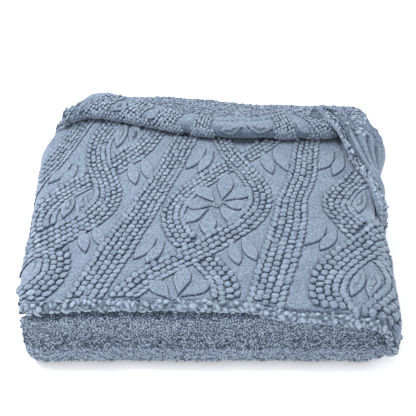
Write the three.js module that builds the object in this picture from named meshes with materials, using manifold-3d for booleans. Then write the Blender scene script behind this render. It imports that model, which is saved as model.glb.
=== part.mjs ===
// A plush throw blanket as it lies folded. Millimetres, +Z up, its front to -Y.
//
// The cloth is one sheet, folded back and forth. It starts at the front hem of the patterned top, runs
// to the rear, turns down inside the rear face, goes back and forth as the inner plies, comes forward
// right under the top, wraps the whole front, runs back as the base, climbs the rear and comes forward
// over the top, where its end is turned back as a cuff. One corner is turned up over the right side.
//
// Every row of the mesh crosses the cloth from its left edge to its right edge. The top, the front and
// rear faces and the cuff are laid over a box with soft edges, so that they bend down at its sides.
import * as THREE from 'three';
import Module from 'manifold-3d';

// Where the top starts to bend down, and the radius of its centre line there
const SIDE_BEND = 188;
const FRONT_BEND = -178;
const REAR_BEND = 166;
const TOP_BEND = 16;
const QUARTER_BEND = TOP_BEND * Math.PI / 2;

// Thickness of the cloth: loose where it shows, pressed inside the stack
const TOP_PLY = 9.5;
const WRAP_PLY = 8.5;
const INNER_PLY = 6.5;
const BASE_PLY = 8.5;
const FLAP_PLY = 7;
const PLY_GAP = 0.95;
const CUFF_GAP = 2.6;
const HEM_RISE = 2;

// Inner plies from the lowest up: how far each one's ends reach past the side bends
const INNER_PLIES = [
  { left: 6, right: 8 },
  { left: 8, right: 5 },
  { left: 7, right: 7 },
  { left: 9, right: 8 },
  { left: 6, right: 6 },
  { left: 8, right: 9 },
  { left: 5, right: 7 },
  { left: 7, right: 6 },
  { left: 1, right: -3 },
];
// Folds that join one inner ply to the next, measured from the front or rear bend and the side bends
const FRONT_FOLDS = [
  { lower: 0, inset: 15, ends: -12 },
  { lower: 2, inset: 7, ends: -12 },
  { lower: 4, inset: 6, ends: -12 },
  { lower: 6, inset: 8, ends: -12 },
];
const REAR_FOLDS = [
  { lower: 1, inset: -4, ends: 0 },
  { lower: 3, inset: -4.5, ends: 0 },
  { lower: 5, inset: -3, ends: 0 },
  { lower: 7, inset: 3, ends: 0 },
];

// Heights of the plies' centre lines
const INNER_PITCH = INNER_PLY + PLY_GAP;
const BASE_LEVEL = BASE_PLY / 2;
const FIRST_INNER = BASE_PLY + PLY_GAP + INNER_PLY / 2;
const innerLevel = (ply) => FIRST_INNER + INNER_PITCH * ply;
const LAST_INNER = INNER_PLIES.length - 1;
const TOP_LEVEL = innerLevel(LAST_INNER) + (INNER_PLY + TOP_PLY) / 2 + PLY_GAP;

// Heights measured from the top's centre line, for cloth that follows the top's bends
const UNDER_TOP = innerLevel(LAST_INNER) - TOP_LEVEL;
const OVER_TOP = (TOP_PLY + WRAP_PLY) / 2 + CUFF_GAP;
const CUFF_TOP = OVER_TOP + WRAP_PLY + CUFF_GAP;
const CUFF_RADIUS = (CUFF_TOP - OVER_TOP) / 2;

// Front face: how far it swells and the radius it turns under with
const FRONT_SWELL = 4;
const FRONT_TURN = 20;
const REAR_TURN = 20;
const INNER_TURN = 11;
// How far the front face reaches past the side bends, from under the hem down to its turn. Share is the
// way round the bend up to 1 and down the face from there to 2.
const FACE_ENDS = [
  { share: 0, left: 2, right: -4 },
  { share: 0.5, left: 6, right: 2 },
  { share: 1, left: 11, right: 10 },
  { share: 1.5, left: 11, right: 14 },
  { share: 2, left: 9, right: 14 },
];
const UNDER_ENDS = { left: 0, right: 6 };
// How far its ends curl to the rear, and from where to where
const FACE_CURL = 7;
const CURL_FROM = 176;
const CURL_TO = 200;

// Lines that wander across the width, by x. Front hem: length past the front bend.
const FRONT_HEM = [
  { x: -190, past: 6 },
  { x: 40, past: 7 },
  { x: 95, past: 17 },
  { x: 150, past: 19.5 },
  { x: 195, past: 24 },
  { x: 225, past: 38 },
  { x: 256, past: 46 },
];
const CUFF_FOLD = [
  { x: -200, y: 175 },
  { x: -170, y: 165 },
  { x: -143, y: 155 },
  { x: -98, y: 141.5 },
  { x: -55, y: 129.5 },
  { x: -21, y: 123 },
  { x: 31, y: 118.5 },
  { x: 95, y: 121.5 },
  { x: 160, y: 126 },
  { x: 205, y: 150 },
];
const CUFF_HEM = [
  { x: -200, y: 173 },
  { x: -143, y: 172 },
  { x: -127, y: 170.5 },
  { x: -114, y: 168 },
  { x: -94, y: 162 },
  { x: -72, y: 152 },
  { x: -39, y: 138 },
  { x: 0, y: 131.5 },
  { x: 41, y: 131.5 },
  { x: 84, y: 138 },
  { x: 120, y: 153 },
  { x: 152, y: 160 },
  { x: 205, y: 164 },
];
// How far the cuff's ends reach past the side bends, from its fold to its hem
const CUFF_SIDES = [
  { share: 0, left: -7, right: -12 },
  { share: 1, left: -44, right: -12 },
];
// The top's right front corner hangs clear of the stack: how far, and how much its end comes back in,
// over which lengths past the bend and which y
const CORNER_FLARE = 10;
const CORNER_TUCK = 5;
const FLARE_PAST = { from: 12, to: 36 };
const TUCK_PAST = { from: 44, to: 76 };
const FLARE_Y = { from: -112, to: -172 };
// How far the top reaches past its side bends, by y
const TOP_SIDES = [
  { y: -180, left: 9, right: 59 },
  { y: -120, left: 22, right: 62 },
  { y: -60, left: 27, right: 54 },
  { y: 20, left: 28, right: 30 },
  { y: 70, left: 26, right: 6 },
  { y: 125, left: 18, right: 4 },
  { y: 155, left: 3, right: 0 },
];
// The same for the cloth over the rear of the top, by height on the rear face and then by y
const REAR_SIDES = [
  { run: 0, left: 0, right: 0 },
  { run: 40, left: 6, right: 16 },
  { run: 65, left: 4, right: 24 },
  { run: 85, left: 0, right: 22 },
  { run: 105, left: -4, right: 4 },
  { run: 121, left: -7, right: -12 },
];

// The corner turned up over the right side, as the ends of its rows, x and y on the laid-out top, and
// how far each row sinks into the cloth under it
const FLAP_ROWS = [
  { x: 256, front: 5, rear: 85, sink: 0 },
  { x: 240, front: 2, rear: 100, sink: 0 },
  { x: 222, front: -1, rear: 112, sink: 0 },
  { x: 212, front: -2, rear: 118, sink: 0 },
  { x: 205, front: 4, rear: 124, sink: 0 },
  { x: 198, front: 22, rear: 128, sink: 0 },
  { x: 190, front: 49, rear: 131, sink: 0 },
  { x: 181, front: 76, rear: 134, sink: 0 },
  { x: 171, front: 100, rear: 139, sink: 0 },
  { x: 161, front: 120, rear: 146, sink: 0 },
  { x: 152, front: 141, rear: 155, sink: 4 },
  { x: 144, front: 160, rear: 166, sink: 11 },
];
const FLAP_ROOT = 177;
const FLAP_TURN = 11;
const FLAP_COLUMNS = 7;
const FLAP_CLIMB = 64;

// How the stack has settled. Rear line: shift to the rear by x, full at the rear face.
const REAR_LINE = [
  { x: -220, back: -40 },
  { x: -196, back: -16 },
  { x: -176, back: 2 },
  { x: -155, back: 25 },
  { x: -132, back: 35 },
  { x: -90, back: 37 },
  { x: -50, back: 37 },
  { x: -15, back: 33 },
  { x: 30, back: 26 },
  { x: 80, back: 19 },
  { x: 115, back: 17 },
  { x: 150, back: 18 },
  { x: 180, back: 19 },
  { x: 200, back: 20 },
  { x: 230, back: 0 },
];
const REAR_LINE_START = 20;
const REAR_LINE_FULL = 192;
// How far each side stands out from its bend, by y, felt from a place on the top outward
const SIDE_LINE = [
  { y: -190, left: -2, right: 4 },
  { y: -165, left: -2, right: 4.5 },
  { y: -140, left: -2, right: 10 },
  { y: -95, left: -2, right: 14 },
  { y: -40, left: -2, right: 13 },
  { y: -5, left: -1, right: 6 },
  { y: 45, left: 0, right: 13 },
  { y: 100, left: 2, right: 8 },
  { y: 140, left: 5, right: 9 },
  { y: 200, left: 4, right: 18 },
];
const SIDE_LINE_FROM = 30;
const SIDE_LINE_FULL = 190;
const SIDE_SAG = 0.06;
const SIDE_SAG_FROM = 110;
const SIDE_SAG_TO = 205;
const WAVE = 0.009;
const WAVE_X = 61;
const WAVE_Y = 79;

// Mesh density
const INNER_COLUMNS = 8;
const BEND_COLUMNS = 4;
const KNEE = SIDE_BEND - 6;
const END_MARGIN = 4;
const FOLD_STEPS = 4;
const TURN_STEPS = 4;
const INNER_STATIONS = [-60, 60];

const { clamp, lerp, smoothstep } = THREE.MathUtils;

// Value of a named column at a place between the rows of a table, on a smooth curve through the rows
function along(table, key, column, place) {
  const last = table.length - 1;
  if (place <= table[0][key]) return table[0][column];
  if (place >= table[last][key]) return table[last][column];
  const next = table.findIndex((entry) => entry[key] >= place);
  const slope = (row) => {
    const before = table[Math.max(row - 1, 0)];
    const after = table[Math.min(row + 1, last)];
    return (after[column] - before[column]) / (after[key] - before[key]);
  };
  const from = table[next - 1];
  const to = table[next];
  const span = to[key] - from[key];
  const share = (place - from[key]) / span;
  const rest = 1 - share;
  const ends = from[column] * (1 + 2 * share) * rest * rest + to[column] * (1 + 2 * rest) * share * share;
  return ends + span * share * rest * (slope(next - 1) * rest - slope(next) * share);
}

// Point of cloth laid over the soft box: x and y as if flat, height from the top's centre line
function drape(x, y, height) {
  const pastX = Math.max(Math.abs(x) - SIDE_BEND, 0);
  const pastY = Math.max(FRONT_BEND - y, y - REAR_BEND, 0);
  const past = Math.hypot(pastX, pastY);
  const angle = Math.min(past / TOP_BEND, Math.PI / 2);
  const fall = Math.max(past - QUARTER_BEND, 0);
  const out = past > 0 ? (TOP_BEND + height) * Math.sin(angle) / past : 0;
  return new THREE.Vector3(
    clamp(x, -SIDE_BEND, SIDE_BEND) + Math.sign(x) * pastX * out,
    clamp(y, FRONT_BEND, REAR_BEND) + Math.sign(y) * pastY * out,
    TOP_LEVEL - TOP_BEND + (TOP_BEND + height) * Math.cos(angle) - fall,
  );
}

// The settled place of a point of the even stack
function settle(point) {
  const side = point.x < 0 ? 'left' : 'right';
  const outward = along(SIDE_LINE, 'y', side, point.y) * smoothstep(Math.abs(point.x), SIDE_LINE_FROM, SIDE_LINE_FULL);
  const rearward = smoothstep(point.y, REAR_LINE_START, REAR_LINE_FULL);
  const sag = 1 - SIDE_SAG * smoothstep(Math.abs(point.x), SIDE_SAG_FROM, SIDE_SAG_TO);
  const wave = 1 + WAVE * Math.sin(point.x / WAVE_X + 0.6) * Math.cos(point.y / WAVE_Y);
  return new THREE.Vector3(
    point.x + Math.sign(point.x) * outward,
    point.y + along(REAR_LINE, 'x', 'back', point.x) * rearward,
    point.z * sag * wave,
  );
}

// How far the right front corner stands off the stack where it hangs
function cornerFlare(x, y) {
  const past = Math.hypot(Math.max(x - SIDE_BEND, 0), Math.max(FRONT_BEND - y, 0));
  const hanging = smoothstep(x - SIDE_BEND, FLARE_PAST.from, FLARE_PAST.to);
  const clear = CORNER_FLARE * hanging - CORNER_TUCK * smoothstep(past, TUCK_PAST.from, TUCK_PAST.to);
  return clear * smoothstep(-y, -FLARE_Y.from, -FLARE_Y.to);
}

// A row of laid-over cloth. Up is 1 where the patterned side faces out and -1 where the fleece does.
function laidRow({ y, height, up, ply, hem = 0, flare = false, left, right }) {
  const place = typeof y === 'function' ? y : () => y;
  const at = (x, face) => {
    const rise = (face === up ? hem : 0) + (flare ? cornerFlare(x, place(x)) : 0);
    return drape(x, place(x), height + up * face * ply / 2 + rise);
  };
  return { at, left, right };
}

// A row of flat or folded cloth inside the stack, where the travel is the way the sheet runs
function innerRow({ y, z, travel, ply, left, right }) {
  const normalY = -Math.sin(travel);
  const normalZ = Math.cos(travel);
  const at = (x, face) => new THREE.Vector3(x, y + face * normalY * ply / 2, z + face * normalZ * ply / 2);
  return { at, left, right };
}

// Rows round an arc from one travel angle to another, its ends included
function arcRows({ y, z, radius, from, to, steps, ply, plyEnd = ply, left, right, leftEnd = left, rightEnd = right }) {
  const side = Math.sign(to - from);
  return Array.from({ length: steps + 1 }, (_, step) => {
    const share = step / steps;
    const travel = lerp(from, to, share);
    return innerRow({
      y: y + side * radius * Math.sin(travel),
      z: z - side * radius * Math.cos(travel),
      travel,
      ply: lerp(ply, plyEnd, share),
      left: lerp(left, leftEnd, share),
      right: lerp(right, rightEnd, share),
    });
  });
}

// The flat y of a point on a face that stands upright, from its height
const frontFaceY = (z) => FRONT_BEND - QUARTER_BEND - (TOP_LEVEL - TOP_BEND - z);
const rearFaceY = (z) => REAR_BEND + QUARTER_BEND + (TOP_LEVEL - TOP_BEND - z);

// Patterned top: from the front hem back to the rear bend
function topRows() {
  const stations = [0, 0.012, 0.03, 0.05, 0.075, 0.11, 0.26, 0.45, 0.64, 0.82, 0.93, 1];
  return stations.map((share) => {
    const middle = lerp(FRONT_BEND - 14, REAR_BEND, share);
    return laidRow({
      y: (x) => lerp(FRONT_BEND - along(FRONT_HEM, 'x', 'past', x), REAR_BEND, share),
      height: 0,
      up: 1,
      flare: true,
      ply: TOP_PLY,
      hem: share < 0.02 ? HEM_RISE : 0,
      left: along(TOP_SIDES, 'y', 'left', middle),
      right: along(TOP_SIDES, 'y', 'right', middle),
    });
  });
}

// The top's rear end, turned down inside the rear face and under into the lowest inner ply
function insideRearRows() {
  const rows = [];
  for (let step = 1; step <= TURN_STEPS; step += 1) {
    const share = step / TURN_STEPS;
    const ply = lerp(TOP_PLY, INNER_PLY, share);
    rows.push(laidRow({ y: REAR_BEND + QUARTER_BEND * share, height: 0, up: 1, ply, left: 0, right: 0 }));
  }
  const turnTop = innerLevel(0) + INNER_TURN;
  const middle = (TOP_LEVEL - TOP_BEND + turnTop) / 2;
  rows.push(laidRow({ y: rearFaceY(middle), height: 0, up: 1, ply: INNER_PLY, left: 0, right: 0 }));
  rows.push(...arcRows({
    y: REAR_BEND + TOP_BEND - INNER_TURN,
    z: turnTop,
    radius: INNER_TURN,
    from: -Math.PI / 2,
    to: -Math.PI,
    steps: TURN_STEPS,
    ply: INNER_PLY,
    left: 0,
    right: 0,
  }));
  return rows;
}

// The back and forth of the inner plies, from the lowest up to the one under the top
function innerPlyRows() {
  const rows = [];
  INNER_PLIES.forEach((ends, ply) => {
    const forward = ply % 2 === 0;
    const stations = forward ? [...INNER_STATIONS].reverse() : INNER_STATIONS;
    const travel = forward ? -Math.PI : 0;
    for (const y of stations) {
      rows.push(innerRow({ y, z: innerLevel(ply), travel, ply: INNER_PLY, ...ends }));
    }
    const folds = forward ? FRONT_FOLDS : REAR_FOLDS;
    const fold = folds.find((entry) => entry.lower === ply);
    if (!fold) return;
    rows.push(...arcRows({
      y: (forward ? FRONT_BEND : REAR_BEND) + fold.inset,
      z: innerLevel(ply) + INNER_PITCH / 2,
      radius: INNER_PITCH / 2,
      from: forward ? -Math.PI : 0,
      to: forward ? -2 * Math.PI : Math.PI,
      steps: FOLD_STEPS,
      ply: INNER_PLY,
      left: fold.ends,
      right: fold.ends,
    }));
  });
  return rows;
}

// The fleece front face, from the ply under the top down to the base
function frontRows() {
  const rows = [];
  const curl = (x) => FACE_CURL * smoothstep(Math.abs(x), CURL_FROM, CURL_TO);
  const faceRow = (y, height, ply, share) => rows.push({
    at: (x, face) => {
      const point = drape(0, y, height - face * ply / 2);
      return new THREE.Vector3(x, point.y + curl(x) * Math.min(share, 1), point.z);
    },
    left: along(FACE_ENDS, 'share', 'left', share),
    right: along(FACE_ENDS, 'share', 'right', share),
  });
  for (let step = 0; step <= TURN_STEPS; step += 1) {
    faceRow(FRONT_BEND - QUARTER_BEND * step / TURN_STEPS, UNDER_TOP, INNER_PLY, step / TURN_STEPS);
  }
  const faceTop = TOP_LEVEL - TOP_BEND;
  const turnTop = BASE_LEVEL + FRONT_TURN;
  for (const share of [0.25, 0.5, 0.75]) {
    const swell = smoothstep(share, 0.4, 1);
    const y = frontFaceY(lerp(faceTop, turnTop, share));
    faceRow(y, UNDER_TOP + FRONT_SWELL * swell, lerp(INNER_PLY, BASE_PLY, swell), 1 + share);
  }
  const turnRows = arcRows({
    y: FRONT_BEND - TOP_BEND - UNDER_TOP - FRONT_SWELL + FRONT_TURN,
    z: turnTop,
    radius: FRONT_TURN,
    from: -Math.PI / 2,
    to: 0,
    steps: TURN_STEPS + 1,
    ply: BASE_PLY,
    left: along(FACE_ENDS, 'share', 'left', 2),
    right: along(FACE_ENDS, 'share', 'right', 2),
    leftEnd: UNDER_ENDS.left,
    rightEnd: UNDER_ENDS.right,
  });
  turnRows.forEach(({ at, ...ends }, step) => {
    const curled = (x, face) => {
      const point = at(x, face);
      point.y += curl(x) * (1 - step / (TURN_STEPS + 1));
      return point;
    };
    rows.push({ at: curled, ...ends });
  });
  return rows;
}

// The base, the rear face, and the cloth that comes forward over the top to the cuff
function rearRows() {
  const rows = [];
  for (const y of INNER_STATIONS) {
    rows.push(innerRow({ y, z: BASE_LEVEL, travel: 0, ply: BASE_PLY, left: 7, right: 7 }));
  }
  const turnTop = BASE_LEVEL + REAR_TURN;
  rows.push(...arcRows({
    y: REAR_BEND + TOP_BEND + OVER_TOP - REAR_TURN,
    z: turnTop,
    radius: REAR_TURN,
    from: 0,
    to: Math.PI / 2,
    steps: TURN_STEPS + 1,
    ply: BASE_PLY,
    plyEnd: WRAP_PLY,
    left: 0,
    right: 0,
  }));
  const faceTop = TOP_LEVEL - TOP_BEND;
  const ends = (run) => ({
    left: along(REAR_SIDES, 'run', 'left', run),
    right: along(REAR_SIDES, 'run', 'right', run),
  });
  const rear = { height: OVER_TOP, up: -1, ply: WRAP_PLY };
  for (const share of [0.35, 0.7]) {
    const z = lerp(turnTop, faceTop, share);
    rows.push(laidRow({ ...rear, y: rearFaceY(z), ...ends(z - turnTop) }));
  }
  for (const share of [0, 0.13, 0.26, 0.4, 0.6, 0.8, 1]) {
    const y = (x) => lerp(REAR_BEND + QUARTER_BEND, along(CUFF_FOLD, 'x', 'y', x), share);
    rows.push(laidRow({ ...rear, y, ...ends(faceTop - turnTop + share * 80) }));
  }
  return rows;
}

// The end of the cloth, folded back over itself as the cuff, patterned side up, to its hem
function cuffRows() {
  const rows = [];
  const foldLine = (x) => along(CUFF_FOLD, 'x', 'y', x);
  const cuffEnds = (share) => ({
    left: along(CUFF_SIDES, 'share', 'left', share),
    right: along(CUFF_SIDES, 'share', 'right', share),
  });
  const middle = (OVER_TOP + CUFF_TOP) / 2;
  for (let step = 1; step < FOLD_STEPS; step += 1) {
    const turn = Math.PI * step / FOLD_STEPS;
    const at = (x, face) => {
      const radius = CUFF_RADIUS + face * WRAP_PLY / 2;
      return drape(x, foldLine(x) - radius * Math.sin(turn), middle - radius * Math.cos(turn));
    };
    rows.push({ at, ...cuffEnds(0) });
  }
  for (const share of [0, 0.4, 0.8, 1]) {
    rows.push(laidRow({
      y: (x) => lerp(foldLine(x), along(CUFF_HEM, 'x', 'y', x), share),
      height: CUFF_TOP,
      up: 1,
      ply: WRAP_PLY,
      hem: share > 0.7 ? HEM_RISE : 0,
      ...cuffEnds(share),
    }));
  }
  return rows;
}

// Where the middle of a row gives way to the closer columns at its side bend
const kneeOf = (reach) => Math.min(KNEE, SIDE_BEND + reach - END_MARGIN);

// Places across a row: even over the middle, closer round each side bend, then out to the edge
function acrossPlaces(left, right) {
  const side = (reach) => {
    const knee = kneeOf(reach);
    const span = SIDE_BEND + reach - knee;
    const bend = Math.min(SIDE_BEND - KNEE + QUARTER_BEND, 0.8 * span);
    const places = Array.from({ length: BEND_COLUMNS }, (_, i) => knee + bend * (i + 1) / BEND_COLUMNS);
    return [...places, knee + span];
  };
  const middle = Array.from(
    { length: INNER_COLUMNS + 1 },
    (_, i) => lerp(-kneeOf(left), kneeOf(right), i / INNER_COLUMNS),
  );
  return [...side(left).map((x) => -x).reverse(), ...middle, ...side(right)];
}

// Closed slab between the two faces of a grid of points, indexed as grid[row][column][face]
function slab(grid) {
  const columns = grid[0].length;
  const vertices = grid.flat(2);
  const index = (row, column, face) => (row * columns + column) * 2 + face;
  const triangles = [];
  const quad = (a, b, c, d) => triangles.push(a, b, c, a, c, d);
  for (let row = 0; row + 1 < grid.length; row += 1) {
    for (let column = 0; column + 1 < columns; column += 1) {
      quad(index(row, column, 0), index(row + 1, column, 0), index(row + 1, column + 1, 0), index(row, column + 1, 0));
      quad(index(row, column, 1), index(row, column + 1, 1), index(row + 1, column + 1, 1), index(row + 1, column, 1));
    }
    const end = columns - 1;
    quad(index(row, 0, 1), index(row + 1, 0, 1), index(row + 1, 0, 0), index(row, 0, 0));
    quad(index(row, end, 0), index(row + 1, end, 0), index(row + 1, end, 1), index(row, end, 1));
  }
  const last = grid.length - 1;
  for (let column = 0; column + 1 < columns; column += 1) {
    quad(index(0, column, 0), index(0, column + 1, 0), index(0, column + 1, 1), index(0, column, 1));
    quad(index(last, column, 1), index(last, column + 1, 1), index(last, column + 1, 0), index(last, column, 0));
  }
  return { vertices: vertices.map(settle), triangles };
}

// The folded sheet as a grid of rows from its front hem to the cuff's hem
function sheetGrid() {
  const rows = [
    ...topRows(), ...insideRearRows(), ...innerPlyRows(), ...frontRows(), ...rearRows(), ...cuffRows(),
  ];
  return rows.map((row) => acrossPlaces(row.left, row.right).map((x) => [row.at(x, -1), row.at(x, 1)]));
}

// Height of the turned-up corner over what lies under it: the top, or the cuff further back
function flapHeight(x, y) {
  const cuff = along(CUFF_FOLD, 'x', 'y', x) - CUFF_RADIUS - WRAP_PLY;
  const climb = smoothstep(y, cuff - FLAP_CLIMB, cuff);
  const onTop = (TOP_PLY + FLAP_PLY) / 2 + PLY_GAP + 1;
  const onCuff = CUFF_TOP + HEM_RISE + (WRAP_PLY + FLAP_PLY) / 2 + PLY_GAP;
  return lerp(onTop, onCuff, climb);
}

// The turned-up corner, from its root in the base ply, up the right side and over the top
function flapGrid() {
  const grid = [];
  const sideHeight = (TOP_PLY + FLAP_PLY) / 2 + PLY_GAP + 1;
  const wallX = SIDE_BEND + TOP_BEND + sideHeight;
  const first = FLAP_ROWS[0];
  const row = (point) => Array.from({ length: FLAP_COLUMNS + 1 }, (_, column) => point(column / FLAP_COLUMNS));
  const turned = (x, z, angle) => row((share) => [1, -1].map((face) => new THREE.Vector3(
    x + face * Math.sin(angle) * FLAP_PLY / 2,
    lerp(first.front, first.rear, share),
    z - face * Math.cos(angle) * FLAP_PLY / 2,
  )).reverse());
  grid.push(turned(FLAP_ROOT, BASE_LEVEL, 0));
  for (let step = 0; step < TURN_STEPS; step += 1) {
    const angle = Math.PI / 2 * step / TURN_STEPS;
    const x = wallX - FLAP_TURN + FLAP_TURN * Math.sin(angle);
    grid.push(turned(x, BASE_LEVEL + FLAP_TURN - FLAP_TURN * Math.cos(angle), angle));
  }
  for (const { x, front, rear, sink } of FLAP_ROWS) {
    grid.push(row((share) => {
      const y = lerp(front, rear, share);
      return [-1, 1].map((face) => drape(x, y, flapHeight(x, y) - sink + face * FLAP_PLY / 2));
    }));
  }
  return grid;
}

// Join the sheet and its turned-up corner into one solid
const wasm = await Module();
wasm.setup();
function solid({ vertices, triangles }) {
  const vertProperties = new Float32Array(vertices.flatMap((point) => point.toArray()));
  return new wasm.Manifold(new wasm.Mesh({ numProp: 3, vertProperties, triVerts: new Uint32Array(triangles) }));
}
const cloth = solid(slab(sheetGrid())).add(solid(slab(flapGrid())));
const joined = cloth.getMesh();

const geometry = new THREE.BufferGeometry();
geometry.setAttribute('position', new THREE.BufferAttribute(joined.vertProperties, 3));
geometry.setIndex(new THREE.BufferAttribute(joined.triVerts, 1));
geometry.computeBoundingBox();
const box = geometry.boundingBox;
geometry.translate(-(box.min.x + box.max.x) / 2, -(box.min.y + box.max.y) / 2, -box.min.z);
geometry.computeVertexNormals();

const plush = new THREE.MeshStandardMaterial({ color: 0x8fa3be, roughness: 0.95, metalness: 0 });
const blanket = new THREE.Mesh(geometry, plush);
blanket.name = 'blanket';

const throwBlanket = new THREE.Group();
throwBlanket.add(blanket);

export default throwBlanket;
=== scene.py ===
import logging
import math
from dataclasses import dataclass
from enum import Enum
from typing import Callable, NamedTuple

import bmesh
import bpy
import numpy as np
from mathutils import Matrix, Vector


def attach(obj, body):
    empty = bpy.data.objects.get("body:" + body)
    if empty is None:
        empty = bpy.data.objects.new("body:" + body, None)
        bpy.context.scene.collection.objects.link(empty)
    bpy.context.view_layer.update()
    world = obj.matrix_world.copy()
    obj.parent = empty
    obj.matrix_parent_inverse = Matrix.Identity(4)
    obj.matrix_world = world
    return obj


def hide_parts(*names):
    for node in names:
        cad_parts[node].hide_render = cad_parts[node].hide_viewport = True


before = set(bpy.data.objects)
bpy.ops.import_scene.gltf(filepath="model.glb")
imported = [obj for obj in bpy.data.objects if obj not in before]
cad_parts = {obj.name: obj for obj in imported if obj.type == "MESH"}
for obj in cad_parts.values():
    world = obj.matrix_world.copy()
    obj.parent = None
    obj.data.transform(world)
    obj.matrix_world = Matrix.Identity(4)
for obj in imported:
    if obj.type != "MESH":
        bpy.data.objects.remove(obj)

LOG = logging.getLogger("blanket")
Array = np.ndarray
Numbers = tuple[float, ...]
Rows = tuple[Numbers, ...]
BMesh = bmesh.types.BMesh
Material = bpy.types.Material
Object = bpy.types.Object
Socket = bpy.types.NodeSocket
BODY = "root"
NODE = "blanket"
MM = 0.001
BEAD_SEED = 11
PILE_SEED = 23


class Table:
    """Rows of named columns, read on a smooth curve through the rows."""

    def __init__(self, names: str, *rows: Numbers) -> None:
        """Keeps the columns.

        Args:
            names: Column names, the first of which is the place.
            rows: One tuple a row, in rising order of place.
        """
        self.names = names.split()
        self.columns = np.array(rows, float).T

    def at(self, place: Array | float, column: str | None = None) -> Array:
        """Value of a column at each place.

        Args:
            place: Where to read the curve.
            column: Name of the column, or the second one.

        Returns:
            The values, held level beyond the first and last rows.
        """
        keys = self.columns[0]
        values = self.columns[self.names.index(column) if column else 1]
        place = np.clip(place, keys[0], keys[-1])
        last = len(keys) - 1
        after = np.clip(np.searchsorted(keys, place), 1, last)
        low, high = (np.clip(np.arange(last + 1) + step, 0, last) for step in (-1, 1))
        slope = (values[high] - values[low]) / (keys[high] - keys[low])
        span = keys[after] - keys[after - 1]
        share = (place - keys[after - 1]) / span
        rest = 1 - share
        ends = values[after - 1] * (1 + 2 * share) * rest**2 + values[after] * (1 + 2 * rest) * share**2
        return ends + span * share * rest * (slope[after - 1] * rest - slope[after] * share)


def ramp(value: Array, low: float, high: float) -> Array:
    """Smooth step from 0 at low to 1 at high.

    Args:
        value: Places to read.
        low: Where the step starts.
        high: Where the step is full.

    Returns:
        Shares from 0 to 1.
    """
    share = np.clip((value - low) / (high - low), 0, 1)
    return share * share * (3 - 2 * share)


def mix(start: Array | float, end: Array | float, share: Array | float) -> Array:
    """Straight blend of two values."""
    return start + (end - start) * share


@dataclass(frozen=True)
class Fade:
    """A smooth step from one value to another.

    Attributes:
        low: Place where the step starts.
        high: Place where it is full.
        start: Value up to where it starts.
        end: Value from where it is full.
    """

    low: float
    high: float
    start: float = 0.0
    end: float = 1.0

    def at(self, place: Array) -> Array:
        """Value at each place."""
        return mix(self.start, self.end, ramp(place, self.low, self.high))


def bump(place: Array, middle: float, half: float) -> Array:
    """Soft bump of height 1 about a middle."""
    return np.exp(-(((place - middle) / half) ** 2))


# Where the top starts to bend down, and the radius of its centre line there
SIDE_BEND = 188.0
FRONT_BEND = -178.0
REAR_BEND = 166.0
TOP_BEND = 16.0
QUARTER_BEND = TOP_BEND * math.pi / 2

# Thickness of the cloth and the gaps between its layers
TOP_PLY = 9.5
WRAP_PLY = 8.5
INNER_PLY = 6.5
BASE_PLY = 8.5
FLAP_PLY = 7.0
PLY_GAP = 0.95
CUFF_GAP = 2.6
HEM_RISE = 2.0

# How far the inner plies' ends reach past the side bends, from the lowest up
INNER_PLIES = ((6, 8), (8, 5), (7, 7), (9, 8), (6, 6), (8, 9), (5, 7), (7, 6), (1, -3))
# Folds between inner plies: the lower ply's number and how far in from the bend
FRONT_FOLDS = {0: 15.0, 2: 7.0, 4: 6.0, 6: 8.0}
FRONT_FOLD_ENDS = -12.0
REAR_FOLDS = {1: -4.0, 3: -4.5, 5: -3.0, 7: 3.0}

INNER_PITCH = INNER_PLY + PLY_GAP
BASE_LEVEL = BASE_PLY / 2
FIRST_INNER = BASE_PLY + PLY_GAP + INNER_PLY / 2
LAST_INNER = FIRST_INNER + INNER_PITCH * (len(INNER_PLIES) - 1)
TOP_LEVEL = LAST_INNER + (INNER_PLY + TOP_PLY) / 2 + PLY_GAP
UNDER_TOP = LAST_INNER - TOP_LEVEL
OVER_TOP = (TOP_PLY + WRAP_PLY) / 2 + CUFF_GAP
CUFF_TOP = OVER_TOP + WRAP_PLY + CUFF_GAP
CUFF_RADIUS = (CUFF_TOP - OVER_TOP) / 2

FRONT_SWELL = 4.0
FRONT_TURN = 20.0
REAR_TURN = 20.0
INNER_TURN = 11.0
# How far the front face reaches past the side bends: share is the way round the bend up to 1 and down
# the face from there to 2, where it fills the gap under the hanging corner
FACE_ENDS = Table("share left right", (0, 2, -4), (0.5, 6, 2), (1, 11, 10), (1.5, 11, 16), (2, 9, 17))
UNDER_ENDS = (0.0, 6.0)
# How far its ends curl to the rear
FACE_CURL = Fade(176.0, 200.0, 0.0, 7.0)

# Lines of the folds: lengths past the bends, and y of the cuff's fold and hem, by x
FRONT_HEM = Table("x past", (-190, 6), (40, 7), (95, 17), (150, 19.5), (195, 24), (225, 38), (256, 46))
CUFF_FOLD = Table(
    "x y",
    (-200, 175), (-170, 165), (-143, 155), (-98, 141.5), (-55, 129.5), (-21, 123), (31, 118.5), (95, 121.5),
    (160, 126), (205, 150),
)
CUFF_HEM = Table(
    "x y",
    (-200, 173), (-143, 172), (-127, 170.5), (-114, 168), (-94, 162), (-72, 152), (-39, 138), (0, 131.5),
    (41, 131.5), (84, 138), (120, 153), (152, 160), (205, 164),
)
CUFF_SIDES = Table("share left right", (0, -7, -12), (1, -44, -12))
TOP_SIDES = Table(
    "y left right",
    (-180, 9, 59), (-120, 22, 62), (-60, 27, 54), (20, 28, 30), (70, 26, 6), (125, 18, 4), (155, 3, 0),
)
REAR_SIDES = Table(
    "run left right", (0, 0, 0), (40, 6, 16), (65, 4, 24), (85, 0, 22), (105, -4, 4), (121, -7, -12)
)
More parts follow.
